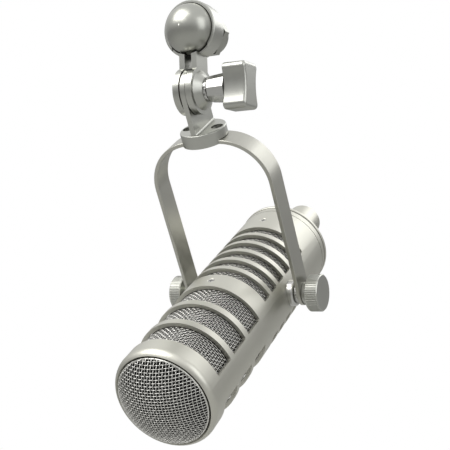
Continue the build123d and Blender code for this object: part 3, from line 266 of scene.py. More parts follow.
class EffectShelf:
    """Builds each shared shader group once and hands it out."""

    def __init__(self) -> None:
        """Starts with no groups made."""
        makers: dict[Effect, Callable[[], bpy.types.NodeTree]] = {
            Effect.BLASTED_GRAIN: self._blasted_grain,
            Effect.DRAWN_LINES: self._drawn_lines,
            Effect.TURNED_RINGS: self._turned_rings,
            Effect.HANDLING: self._handling,
            Effect.EDGE_LIGHT_AND_CREASE_SHADE: self._lighter_edges_and_crease_shade,
        }
        self.groups = {effect: make() for effect, make in makers.items()}

    @staticmethod
    def _group(effect: Effect, inputs: dict[str, float | Colour],
               outputs: Sequence[str]) -> bpy.types.NodeTree:
        """Makes an empty group with its sockets.

        Args:
            effect: The effect, whose value is the group's name.
            inputs: Default of each input, a number or a vector.
            outputs: Names of the value outputs.

        Returns:
            The group with its input and output nodes in place.
        """
        tree = bpy.data.node_groups.new(effect.value, "ShaderNodeTree")
        for name, default in inputs.items():
            kind = "NodeSocketFloat" if isinstance(default, float) else "NodeSocketVector"
            socket = tree.interface.new_socket(name, in_out="INPUT", socket_type=kind)
            socket.default_value = default
        for name in outputs:
            tree.interface.new_socket(name, in_out="OUTPUT", socket_type="NodeSocketFloat")
        tree.nodes.new("NodeGroupInput").name = "in"
        tree.nodes.new("NodeGroupOutput").name = "out"
        return tree

    @staticmethod
    def _noise(tree: bpy.types.NodeTree, detail: float, roughness: float) -> bpy.types.Node:
        """Adds a noise node with its detail set."""
        noise = tree.nodes.new("ShaderNodeTexNoise")
        noise.inputs["Detail"].default_value = detail
        noise.inputs["Roughness"].default_value = roughness
        return noise

    @staticmethod
    def _math(tree: bpy.types.NodeTree, operation: str, value: float | None = None) -> bpy.types.Node:
        """Adds a math node whose second value may be fixed."""
        node = tree.nodes.new("ShaderNodeMath")
        node.operation = operation
        if value is not None:
            node.inputs[1].default_value = value
        return node

    def _blasted_grain(self) -> bpy.types.NodeTree:
        """Tiny pits left by blasting, with a slow drift in how deep they are."""
        tree = self._group(Effect.BLASTED_GRAIN, {"Grains per metre": 4000.0, "Drift per metre": 60.0},
                           ["Height", "Mask"])
        join = tree.links.new
        source, out = tree.nodes["in"], tree.nodes["out"]
        place = tree.nodes.new("ShaderNodeTexCoord")
        fine = self._noise(tree, 2.0, 0.7)
        slow = self._noise(tree, 3.0, 0.5)
        join(place.outputs["Object"], fine.inputs["Vector"])
        join(place.outputs["Object"], slow.inputs["Vector"])
        join(source.outputs["Grains per metre"], fine.inputs["Scale"])
        join(source.outputs["Drift per metre"], slow.inputs["Scale"])
        mixed = self._math(tree, "MULTIPLY")
        join(fine.outputs["Fac"], mixed.inputs[0])
        join(slow.outputs["Fac"], mixed.inputs[1])
        join(fine.outputs["Fac"], out.inputs["Height"])
        join(mixed.outputs[0], out.inputs["Mask"])
        return tree

    def _drawn_lines(self) -> bpy.types.NodeTree:
        """Long fine lines left by brushing along a length."""
        tree = self._group(Effect.DRAWN_LINES,
                           {"Across": (0.0, 1.0, 0.0), "Lines per metre": 2500.0, "Share along": 0.02},
                           ["Height", "Mask"])
        join = tree.links.new
        source, out = tree.nodes["in"], tree.nodes["out"]
        place = tree.nodes.new("ShaderNodeTexCoord")
        offset = tree.nodes.new("ShaderNodeVectorMath")
        offset.operation = "DOT_PRODUCT"
        join(place.outputs["Object"], offset.inputs[0])
        join(source.outputs["Across"], offset.inputs[1])
        lift = tree.nodes.new("ShaderNodeVectorMath")
        lift.operation = "SCALE"
        join(source.outputs["Across"], lift.inputs[0])
        join(offset.outputs["Value"], lift.inputs["Scale"])
        slow = tree.nodes.new("ShaderNodeVectorMath")
        slow.operation = "SCALE"
        join(place.outputs["Object"], slow.inputs[0])
        join(source.outputs["Share along"], slow.inputs["Scale"])
        both = tree.nodes.new("ShaderNodeVectorMath")
        both.operation = "ADD"
        join(lift.outputs[0], both.inputs[0])
        join(slow.outputs[0], both.inputs[1])
        noise = self._noise(tree, 3.0, 0.6)
        join(both.outputs[0], noise.inputs["Vector"])
        join(source.outputs["Lines per metre"], noise.inputs["Scale"])
        join(noise.outputs["Fac"], out.inputs["Height"])
        sharp = self._math(tree, "POWER", 2.0)
        join(noise.outputs["Fac"], sharp.inputs[0])
        join(sharp.outputs[0], out.inputs["Mask"])
        return tree

    def _turned_rings(self) -> bpy.types.NodeTree:
        """Rings left by a lathe, round an axis through a centre."""
        tree = self._group(Effect.TURNED_RINGS,
                           {"Centre": (0.0, 0.0, 0.0), "Axis": (1.0, 0.0, 0.0), "Rings per metre": 3000.0},
                           ["Height", "Mask"])
        join = tree.links.new
        source, out = tree.nodes["in"], tree.nodes["out"]
        place = tree.nodes.new("ShaderNodeTexCoord")
        offset = tree.nodes.new("ShaderNodeVectorMath")
        offset.operation = "SUBTRACT"
        join(place.outputs["Object"], offset.inputs[0])
        join(source.outputs["Centre"], offset.inputs[1])
        along = tree.nodes.new("ShaderNodeVectorMath")
        along.operation = "DOT_PRODUCT"
        join(offset.outputs[0], along.inputs[0])
        join(source.outputs["Axis"], along.inputs[1])
        around = tree.nodes.new("ShaderNodeVectorMath")
        around.operation = "CROSS_PRODUCT"
        join(offset.outputs[0], around.inputs[0])
        join(source.outputs["Axis"], around.inputs[1])
        reach = tree.nodes.new("ShaderNodeVectorMath")
        reach.operation = "LENGTH"
        join(around.outputs[0], reach.inputs[0])
        pair = tree.nodes.new("ShaderNodeCombineXYZ")
        join(reach.outputs["Value"], pair.inputs["X"])
        join(along.outputs["Value"], pair.inputs["Y"])
        noise = self._noise(tree, 2.0, 0.5)
        join(pair.outputs[0], noise.inputs["Vector"])
        join(source.outputs["Rings per metre"], noise.inputs["Scale"])
        join(noise.outputs["Fac"], out.inputs["Height"])
        join(noise.outputs["Fac"], out.inputs["Mask"])
        return tree

    def _handling(self) -> bpy.types.NodeTree:
        """Faint cloudy marks from fingers and cleaning."""
        tree = self._group(Effect.HANDLING, {"Clouds per metre": 45.0, "Contrast": 0.6}, ["Mask"])
        join = tree.links.new
        source, out = tree.nodes["in"], tree.nodes["out"]
        place = tree.nodes.new("ShaderNodeTexCoord")
        cloud = self._noise(tree, 4.0, 0.6)
        cloud.inputs["Distortion"].default_value = 0.8
        join(place.outputs["Object"], cloud.inputs["Vector"])
        join(source.outputs["Clouds per metre"], cloud.inputs["Scale"])
        centred = self._math(tree, "SUBTRACT", 0.5)
        join(cloud.outputs["Fac"], centred.inputs[0])
        scaled = self._math(tree, "MULTIPLY_ADD")
        scaled.inputs[2].default_value = 0.5
        join(centred.outputs[0], scaled.inputs[0])
        join(source.outputs["Contrast"], scaled.inputs[1])
        scaled.use_clamp = True
        join(scaled.outputs[0], out.inputs["Mask"])
        return tree

    def _lighter_edges_and_crease_shade(self) -> bpy.types.NodeTree:
        """Where corners are made lighter, and painted shade where a crease holds shadow."""
        tree = self._group(Effect.EDGE_LIGHT_AND_CREASE_SHADE, {"Reach": 0.0006, "Crease reach": 0.004}, ["Edge", "Crease"])
        join = tree.links.new
        source, out = tree.nodes["in"], tree.nodes["out"]
        for output, inside, reach in (("Edge", True, "Reach"), ("Crease", False, "Crease reach")):
            hidden = tree.nodes.new("ShaderNodeAmbientOcclusion")
            hidden.samples = 4
            hidden.inside = inside
            hidden.only_local = inside
            join(source.outputs[reach], hidden.inputs["Distance"])
            flipped = self._math(tree, "SUBTRACT")
            flipped.inputs[0].default_value = 1.0
            flipped.use_clamp = True
            join(hidden.outputs["AO"], flipped.inputs[1])
            join(flipped.outputs[0], out.inputs[output])
        return tree

    def use(self, tree: bpy.types.NodeTree, effect: Effect, **values: float | Colour) -> bpy.types.Node:
        """Places an effect in a material.

        Args:
            tree: The material's nodes.
            effect: The effect wanted.
            values: Its inputs, with spaces written as underscores.

        Returns:
            The group node.
        """
        node = tree.nodes.new("ShaderNodeGroup")
        node.node_tree = self.groups[effect]
        for name, value in values.items():
            node.inputs[name.replace("_", " ")].default_value = value
        return node


# ---------------------------------------------------------------- finishes
class Marks(Enum):
    """What the last tool left on a metal surface."""

    BLASTED = "blasted"
    DRAWN = "drawn"
    TURNED = "turned"
    CAST = "cast"


def graded(tree: bpy.types.NodeTree, source: bpy.types.NodeSocket, low: float,
           high: float) -> bpy.types.NodeSocket:
    """Turns a mask into a value between two limits.

    Args:
        tree: The material's nodes.
        source: The mask.
        low: Value where the mask is 0.
        high: Value where the mask is 1.

    Returns:
        The socket with the value.
    """
    node = tree.nodes.new("ShaderNodeMapRange")
    node.inputs["To Min"].default_value = low
    node.inputs["To Max"].default_value = high
    tree.links.new(source, node.inputs["Value"])
    return node.outputs["Result"]


def tinted(tree: bpy.types.NodeTree, mask: bpy.types.NodeSocket, start: bpy.types.NodeSocket | Colour,
           end: Colour) -> bpy.types.NodeSocket:
    """Mixes two colours by a mask.

    Args:
        tree: The material's nodes.
        mask: Where the second colour shows.
        start: The first colour, or a socket that gives it.
        end: The second colour.

    Returns:
        The socket with the colour.
    """
    node = tree.nodes.new("ShaderNodeMix")
    node.data_type = "RGBA"
    tree.links.new(mask, node.inputs["Factor"])
    colours = [socket for socket in node.inputs if socket.type == "RGBA"]
    if isinstance(start, tuple):
        colours[0].default_value = (*start, 1.0)
    else:
        tree.links.new(start, colours[0])
    colours[1].default_value = (*end, 1.0)
    return next(socket for socket in node.outputs if socket.type == "RGBA")


def scaled(colour: Colour, share: float) -> Colour:
    """A colour made lighter or darker, held at white."""
    return tuple(min(1.0, part * share) for part in colour)


@dataclass(frozen=True)
class MetalFinish:
    """A bare or plated metal with the marks of its making."""

    slot: str
    colour: Colour
    roughness: float
    marks: Marks = Marks.BLASTED
    marks_per_metre: float = 4000.0
    bump: float = 0.05
    bump_depth: float = 0.00004
    spread: float = 0.06
    # share of the colour at corners, which are made lighter
    edge_gain: float = 1.15
    # share of the colour left in creases, as painted shade
    crease_share: float = 0.55
    across: Colour = (0.0, 1.0, 0.0)
    centre: Colour = (0.0, 0.0, 0.0)
    axis: Colour = (1.0, 0.0, 0.0)
    anisotropy: float = 0.0

    def _surface_marks(self, tree: bpy.types.NodeTree, shelf: EffectShelf) -> bpy.types.Node:
        """Places the group that suits this finish's marks."""
        if self.marks is Marks.DRAWN:
            return shelf.use(tree, Effect.DRAWN_LINES, Across=self.across,
                             Lines_per_metre=self.marks_per_metre)
        if self.marks is Marks.TURNED:
            return shelf.use(tree, Effect.TURNED_RINGS, Centre=self.centre, Axis=self.axis,
                             Rings_per_metre=self.marks_per_metre)
        drift = BLASTED_DRIFT if self.marks is Marks.BLASTED else CAST_DRIFT
        return shelf.use(tree, Effect.BLASTED_GRAIN, Grains_per_metre=self.marks_per_metre,
                         Drift_per_metre=drift)

    def material(self, shelf: EffectShelf) -> bpy.types.Material:
        """Builds the material.

        Args:
            shelf: The shared effects.

        Returns:
            The material, named after its slot.
        """
        material = bpy.data.materials.new(self.slot)
        material.use_nodes = True
        tree = material.node_tree
        surface = tree.nodes["Principled BSDF"]
        surface.inputs["Metallic"].default_value = 1.0
        surface.inputs["Anisotropic"].default_value = self.anisotropy
        marks = self._surface_marks(tree, shelf)
        cloud = shelf.use(tree, Effect.HANDLING)
        # ambient occlusion paints shade into creases and makes corners lighter
        edges = shelf.use(tree, Effect.EDGE_LIGHT_AND_CREASE_SHADE)
        clouded = tinted(tree, cloud.outputs["Mask"], scaled(self.colour, CLOUD_DARK),
                         scaled(self.colour, CLOUD_LIGHT))
        marked = tinted(tree, graded(tree, marks.outputs["Mask"], 0.0, MARK_SHARE), clouded,
                        scaled(self.colour, MARK_LIGHT))
        # corners made lighter in colour by edge_gain
        edge_lightened = tinted(tree, graded(tree, edges.outputs["Edge"], 0.0, 0.8), marked,
                        scaled(self.colour, self.edge_gain))
        # painted shade: creases darkened towards crease_share
        shaded = tinted(tree, graded(tree, edges.outputs["Crease"], 0.0, 0.7), edge_lightened,
                        scaled(self.colour, self.crease_share))
        tree.links.new(shaded, surface.inputs["Base Color"])
        total = tree.nodes.new("ShaderNodeMath")
        total.operation = "ADD"
        tree.links.new(graded(tree, marks.outputs["Mask"], self.roughness - self.spread,
                              self.roughness + self.spread), total.inputs[0])
        tree.links.new(graded(tree, cloud.outputs["Mask"], -0.5 * self.spread, 0.5 * self.spread),
                       total.inputs[1])
        tree.links.new(total.outputs[0], surface.inputs["Roughness"])
        bump = tree.nodes.new("ShaderNodeBump")
        bump.inputs["Strength"].default_value = self.bump
        bump.inputs["Distance"].default_value = self.bump_depth
        tree.links.new(marks.outputs["Height"], bump.inputs["Height"])
        tree.links.new(bump.outputs["Normal"], surface.inputs["Normal"])
        return material


@dataclass(frozen=True)
class DullFinish:
    """A plastic, rubber, foam, felt, enamel or laminate surface."""

    slot: str
    colour: Colour
    second: Colour
    roughness: float
    grains_per_metre: float = 2500.0
    bump: float = 0.3
    bump_depth: float = 0.0002
    sheen: float = 0.0
    coat: float = 0.0

    def material(self, shelf: EffectShelf) -> bpy.types.Material:
        """Builds the material.

        Args:
            shelf: The shared effects.

        Returns:
            The material, named after its slot.
        """
        material = bpy.data.materials.new(self.slot)
        material.use_nodes = True
        tree = material.node_tree
        surface = tree.nodes["Principled BSDF"]
        surface.inputs["Sheen Weight"].default_value = self.sheen
        surface.inputs["Coat Weight"].default_value = self.coat
        grain = shelf.use(tree, Effect.BLASTED_GRAIN, Grains_per_metre=self.grains_per_metre)
        cloud = shelf.use(tree, Effect.HANDLING)
        base = tinted(tree, grain.outputs["Mask"], self.colour, self.second)
        tree.links.new(tinted(tree, graded(tree, cloud.outputs["Mask"], 0.0, 0.3), base,
                              scaled(self.second, 1.1)), surface.inputs["Base Color"])
        tree.links.new(graded(tree, cloud.outputs["Mask"], self.roughness - 0.06, self.roughness + 0.06),
                       surface.inputs["Roughness"])
        bump = tree.nodes.new("ShaderNodeBump")
        bump.inputs["Strength"].default_value = self.bump
        bump.inputs["Distance"].default_value = self.bump_depth
        tree.links.new(grain.outputs["Height"], bump.inputs["Height"])
        tree.links.new(bump.outputs["Normal"], surface.inputs["Normal"])
        return material


Finish = MetalFinish | DullFinish


def finishes(axes: Axes) -> list[Finish]:
    """Every finish of the microphone and its mount.

    Args:
        axes: The microphone's directions, for marks that follow them.

    Returns:
        One finish for each material slot of the record.
    """
    pivot, across = tuple(axes.pivot), tuple(axes.yoke_back)
    return [
        MetalFinish("satin_nickel", (0.585, 0.58, 0.52), 0.42, marks_per_metre=5200.0, bump=0.10),
        MetalFinish("satin_cast", (0.47, 0.475, 0.44), 0.33, Marks.CAST, 1500.0, bump=0.06,
                    bump_depth=0.00008),
        MetalFinish("brushed_nickel", (0.49, 0.487, 0.44), 0.36, Marks.DRAWN, 5200.0, bump=0.16,
                    across=across, spread=0.09),
        MetalFinish("bright_chrome", (0.56, 0.56, 0.54), 0.20, Marks.TURNED, 4200.0, bump=0.05,
                    centre=pivot, spread=0.05),
        MetalFinish("polished_ball", (0.42, 0.425, 0.39), 0.34, Marks.CAST, 900.0, bump=0.05,
                    spread=0.04),
        # woven steel: strong painted shade in the creases between crossing wires
        MetalFinish("woven_steel", (0.78, 0.775, 0.74), 0.25, Marks.CAST, 2600.0, bump=0.04,
                    edge_gain=1.1, crease_share=0.28),
        MetalFinish("magnet_grey", (0.30, 0.30, 0.32), 0.42, Marks.CAST, 2600.0),
        MetalFinish("soft_iron", (0.36, 0.36, 0.37), 0.40, Marks.DRAWN, 3600.0, across=across),
        MetalFinish("ribbon_foil", (0.88, 0.88, 0.88), 0.20, Marks.DRAWN, 2600.0, across=(1.0, 0.0, 0.0)),
        MetalFinish("brass_parts", (0.72, 0.52, 0.24), 0.28, Marks.TURNED, 3600.0, centre=pivot,
                    axis=tuple(axes.back)),
        DullFinish("black_foam", (0.004, 0.004, 0.004), (0.016, 0.016, 0.016), 0.95, 1800.0, 0.8,
                   bump_depth=0.0008),
        DullFinish("black_plastic", (0.014, 0.014, 0.014), (0.028, 0.028, 0.028), 0.48),
        DullFinish("black_rubber", (0.012, 0.012, 0.012), (0.022, 0.022, 0.022), 0.72, 1800.0),
        DullFinish("grey_felt", (0.10, 0.10, 0.10), (0.24, 0.24, 0.23), 0.95, 3200.0, 0.9,
                   bump_depth=0.0006, sheen=0.4),
        MetalFinish("copper_wire", (0.55, 0.20, 0.09), 0.30, Marks.DRAWN, 1500.0, bump=0.6,
                    across=tuple(axes.back), bump_depth=0.0002),
        DullFinish("board_laminate", (0.03, 0.09, 0.05), (0.05, 0.13, 0.07), 0.40, 4000.0, 0.2, coat=0.3),
        DullFinish("lead_insulation", (0.30, 0.02, 0.02), (0.36, 0.03, 0.03), 0.42, 900.0, 0.1),
        DullFinish("fibre_washer", (0.16, 0.09, 0.05), (0.24, 0.14, 0.08), 0.70, 5200.0, 0.5),
    ]


class FinishShelf:
    """Makes every material once and puts them on pieces and CAD nodes."""

    def __init__(self, axes: Axes) -> None:
        """Builds the effects and all the materials."""
        shelf = EffectShelf()
        self.materials = {finish.slot: finish.material(shelf) for finish in finishes(axes)}

    def dress(self, piece: bpy.types.Object, slot: str) -> None:
        """Gives a new piece the finish of a slot."""
        piece.data.materials.clear()
        piece.data.materials.append(self.materials[slot])

    def dress_nodes(self, frame: dict) -> None:
        """Gives every CAD node the finish of its record slot.

        Args:
            frame: The loaded frame.
        """
        slots = {part["node"]: part["material_slot"] for part in frame["record"]["subparts"]}
        for name, node in frame["nodes"].items():
            for place in node.material_slots:
                place.material = self.materials[slots[name]]
        LOG.info("dressed %d CAD nodes", len(frame["nodes"]))


# ---------------------------------------------------------------- woven wire
@dataclass
class DomeGrille:
    """The woven dome over the nose opening."""

    axes: Axes
    rim_radius: float = 27.15 * MM
    rim_station: float = -119.9 * MM
    bulge: float = 11.9 * MM
    pitch_across: float = 1.72 * MM
    pitch_up: float = 1.56 * MM
    wire: float = 0.19 * MM
    turns_per_gap: int = 4
    sides: int = 7
    flange_wall: float = 0.6 * MM
    flange_depth: float = 1.5 * MM

    def _sphere(self) -> float:
        """Radius of the sphere that the middle of the cloth lies on."""
        bulge = self.bulge - 2.0 * self.wire
        return (self.rim_radius ** 2 + bulge ** 2) / (2.0 * bulge)

    def _route(self, index: int, pitch: float, cross_pitch: float, upright: bool) -> Route | None:
        """One wire of the dome.

        Args:
            index: Number of the wire, 0 in the middle.
            pitch: Distance between these wires.
            cross_pitch: Distance between the wires that it weaves through.
            upright: Whether it runs up the dome, rather than across.

        Returns:
            Its route, or None where it misses the dome.
        """
        offset = (index + 0.5) * pitch
        reach = self.rim_radius ** 2 - offset ** 2
        if reach < (2.0 * pitch) ** 2:
            return None
        half = math.sqrt(reach)
        steps = int(2.0 * half / cross_pitch * self.turns_per_gap) + 2
        run = np.linspace(-half, half, steps)
        phase = math.pi * (run / cross_pitch - 0.5 + index + (0.0 if upright else 1.0))
        weave = self.wire * 0.98 * np.cos(phase)
        fixed = np.full_like(run, offset)
        right, rise = (fixed, run) if upright else (run, fixed)
        sphere = self._sphere()
        depth = np.sqrt(sphere ** 2 - right ** 2 - rise ** 2)
        normal = np.stack([right, -depth, rise], axis=1) / sphere
        centre = self.rim_station + math.sqrt(sphere ** 2 - self.rim_radius ** 2)
        local = normal * (sphere + weave)[:, None]
        basis = np.array([self.axes.side, self.axes.back, self.axes.up])
        path = np.array(self.axes.pivot) + centre * np.array(self.axes.back) + local @ basis
        return path, normal @ basis

    def build(self, shelf: FinishShelf) -> list[bpy.types.Object]:
        """Weaves the dome and turns the flange that clamps it."""
        across = int(self.rim_radius / self.pitch_across) + 1
        rising = int(self.rim_radius / self.pitch_up) + 1
        routes = [self._route(index, self.pitch_across, self.pitch_up, True)
                  for index in range(-across, across)]
        routes += [self._route(index, self.pitch_up, self.pitch_across, False)
                   for index in range(-rising, rising)]
        cloth = wires("dome_weave", [route for route in routes if route is not None], self.wire, self.sides)
        rim, start = self.rim_radius, self.rim_station
        hem = shell("dome_hem", self.axes, [
            (start + 0.15 * MM, rim - 1.1 * MM),
            (start - 0.45 * MM, rim - 0.75 * MM),
            (start - 0.5 * MM, rim - 0.25 * MM),
            (start - 0.1 * MM, rim + 0.05 * MM),
            (start + self.flange_depth, rim + 0.05 * MM),
            (start + self.flange_depth, rim - self.flange_wall),
            (start + 0.15 * MM, rim - 1.1 * MM),
        ])
        for piece in (cloth, hem):
            shelf.dress(piece, "woven_steel")
            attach(piece, "microphone")
        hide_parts("front_grille")
        return [cloth, hem]


@dataclass
class WindowGrille:
    """A woven tube behind a row of windows, in an upper and a lower half."""

    axes: Axes
    name: str
    replaced: str
    start: float
    end: float
    rail: float
    outer: float = 28.05 * MM
    wires_round: int = 98
    hoop_pitch: float = 1.53 * MM
    wire: float = 0.21 * MM
    turns_per_gap: int = 3
    sides: int = 5

    @property
    def middle(self) -> float:
        """Radius that the wires weave about."""
        return self.outer - 2.0 * self.wire

    def _hoop(self, number: int, low: float, high: float) -> Route:
        """A wire round the tube between two angles."""
        gap = 2.0 * math.pi / self.wires_round
        steps = int((high - low) / gap * self.turns_per_gap) + 1
        angle = np.linspace(low, high, steps)
        weave = self.wire * 0.98 * np.cos(math.pi * (angle / gap + number))
        along = self.start + number * self.hoop_pitch
        return self.axes.place(along, self.middle + weave, angle), self.axes.outward(angle)

    def _straight(self, number: int, hoops: int) -> Route:
        """A wire along the tube, through all its hoops."""
        angle = number * 2.0 * math.pi / self.wires_round
        hoop = np.linspace(-0.5, hoops - 0.5, hoops * self.turns_per_gap + 1)
        weave = -self.wire * 0.98 * np.cos(math.pi * (hoop + number))
        along = self.start + hoop * self.hoop_pitch
        outward = np.repeat(self.axes.outward(np.array([angle])), len(hoop), axis=0)
        return self.axes.place(along, self.middle + weave, angle), outward

    def build(self, shelf: FinishShelf) -> list[bpy.types.Object]:
        """Weaves both halves."""
        hoops = int((self.end - self.start) / self.hoop_pitch) + 1
        gap = 2.0 * math.pi / self.wires_round
        made = []
        for half, middle in (("upper", 0.5 * math.pi), ("lower", 1.5 * math.pi)):
            low, high = middle - 0.5 * math.pi + self.rail, middle + 0.5 * math.pi - self.rail
            numbers = range(math.ceil(low / gap), math.floor(high / gap) + 1)
            routes = [self._hoop(number, low, high) for number in range(hoops)]
            routes += [self._straight(number, hoops) for number in numbers]
            piece = wires(f"{self.name}_{half}", routes, self.wire, self.sides)
            shelf.dress(piece, "woven_steel")
            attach(piece, "microphone")
            made.append(piece)
        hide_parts(self.replaced)
        return made


# ---------------------------------------------------------------- foam, felt and lining
@dataclass
class SoftInside:
    """The foam behind the weave and the felt in the acoustic cup."""

    axes: Axes
    lining_radius: float = 26.8 * MM
    lining_wall: float = 1.4 * MM
    pore: float = 0.25 * MM
    seed: int = 11

    def _roughen(self, piece: bpy.types.Object, rng: np.random.Generator) -> None:
        """Moves each vertex a little inwards, for the open cells of foam."""
        count = len(piece.data.vertices)
        places = np.empty(count * 3)
        piece.data.vertices.foreach_get("co", places)
        places = places.reshape(-1, 3)
        offset = places - np.array(self.axes.pivot)
        back = np.array(self.axes.back)
        radial = offset - (offset @ back)[:, None] * back
        reach = np.maximum(np.linalg.norm(radial, axis=1, keepdims=True), MM)
        places -= radial / reach * rng.uniform(0.0, self.pore, (count, 1))
        piece.data.vertices.foreach_set("co", places.ravel())
        piece.data.update()

    def _tube(self, name: str, start: float, end: float) -> bpy.types.Object:
        """A foam tube between two distances along the axis."""
        outer, inner = self.lining_radius, self.lining_radius - self.lining_wall
        rows = int((end - start) / (1.5 * MM))
        outside = [(start + (end - start) * row / rows, outer) for row in range(rows + 1)]
        return shell(name, self.axes, [(start, inner), *outside, (end, inner), (start, inner)], 120)

    def _disc(self, name: str, start: float, end: float, radius: float) -> bpy.types.Object:
        """A soft disc, crowned on both faces."""
        crown, rings = 0.12 * (end - start), 14
        front = [(start + crown * (ring / rings) ** 2, radius * ring / rings) for ring in range(1, rings + 1)]
        rear = [(end - crown * (ring / rings) ** 2, radius * ring / rings) for ring in range(rings, 0, -1)]
        return shell(name, self.axes, [(start, 0.05 * MM), *front, *rear, (end, 0.05 * MM)], 90)

    def build(self, shelf: FinishShelf, stations: dict[str, tuple[float, float]]) -> list[bpy.types.Object]:
        """Makes every soft piece.

        Args:
            shelf: The finishes.
            stations: Start and end along the axis of the CAD nodes.

        Returns:
            The pieces.
        """
        rng = np.random.default_rng(self.seed)
        gap = 0.4 * MM
        front, rear = stations["front_sleeve"], stations["rear_sleeve"]
        pad, felt = stations["pop_foam"], stations["damping_felt"]
        plans = [
            (self._tube("front_foam", front[0] + gap, front[1] - gap), "black_foam", "foam_lining"),
            (self._tube("rear_foam", rear[0] + gap, rear[1] - gap), "black_foam", None),
            (self._disc("nose_foam", pad[0], pad[1], 25.0 * MM), "black_foam", "pop_foam"),
            (self._disc("cup_felt", felt[0], felt[1], 20.0 * MM), "grey_felt", "damping_felt"),
        ]
        made = []
        for piece, slot, node in plans:
            self._roughen(piece, rng)
            shelf.dress(piece, slot)
            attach(piece, "microphone")
            if node:
                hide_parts(node)
            made.append(piece)
        return made


# ---------------------------------------------------------------- stand thread
@dataclass
class StandThread:
    """The ridge of the 5/8 inch 27 thread inside the stand socket."""

    major: float = 7.9 * MM
    depth: float = 0.5 * MM
    pitch: float = 25.4 / 27.0 * MM
    length: float = 13.6 * MM
    inset: float = 0.7 * MM
    steps: int = 48

    def build(self, shelf: FinishShelf) -> list[bpy.types.Object]:
        """Cuts the helix and hangs it on the stand."""
        turns = self.length / self.pitch
        count = int(turns * self.steps)
        angle = np.linspace(0.0, 2.0 * math.pi * turns, count)
        along = -self.inset - self.length * np.linspace(0.0, 1.0, count)
        fade = np.clip(np.minimum(np.arange(count), count - 1 - np.arange(count)) / self.steps, 0.05, 1.0)
        section = ((-0.46, 0.0), (0.0, 1.0), (0.46, 0.0))
        rows = []
        for share, drop in section:
            radius = self.major - self.depth * drop * fade
            rows.append(np.stack([radius * np.cos(angle), along + share * self.pitch,
                                  radius * np.sin(angle)], 1))
        points = np.stack(rows, axis=1).reshape(-1, 3)
        piece = mesh_object("stand_thread_ridge", points, grid_faces(count, len(section), wraps=True))
        shelf.dress(piece, "polished_ball")
        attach(piece, "stand")
        return [piece]


# ---------------------------------------------------------------- studio
@dataclass
class Lamp:
    """A soft rectangular light aimed at the object."""

    name: str
    azimuth: float
    elevation: float
    distance: float
    width: float
    height: float
    power: float
    colour: Colour = (1.0, 1.0, 1.0)


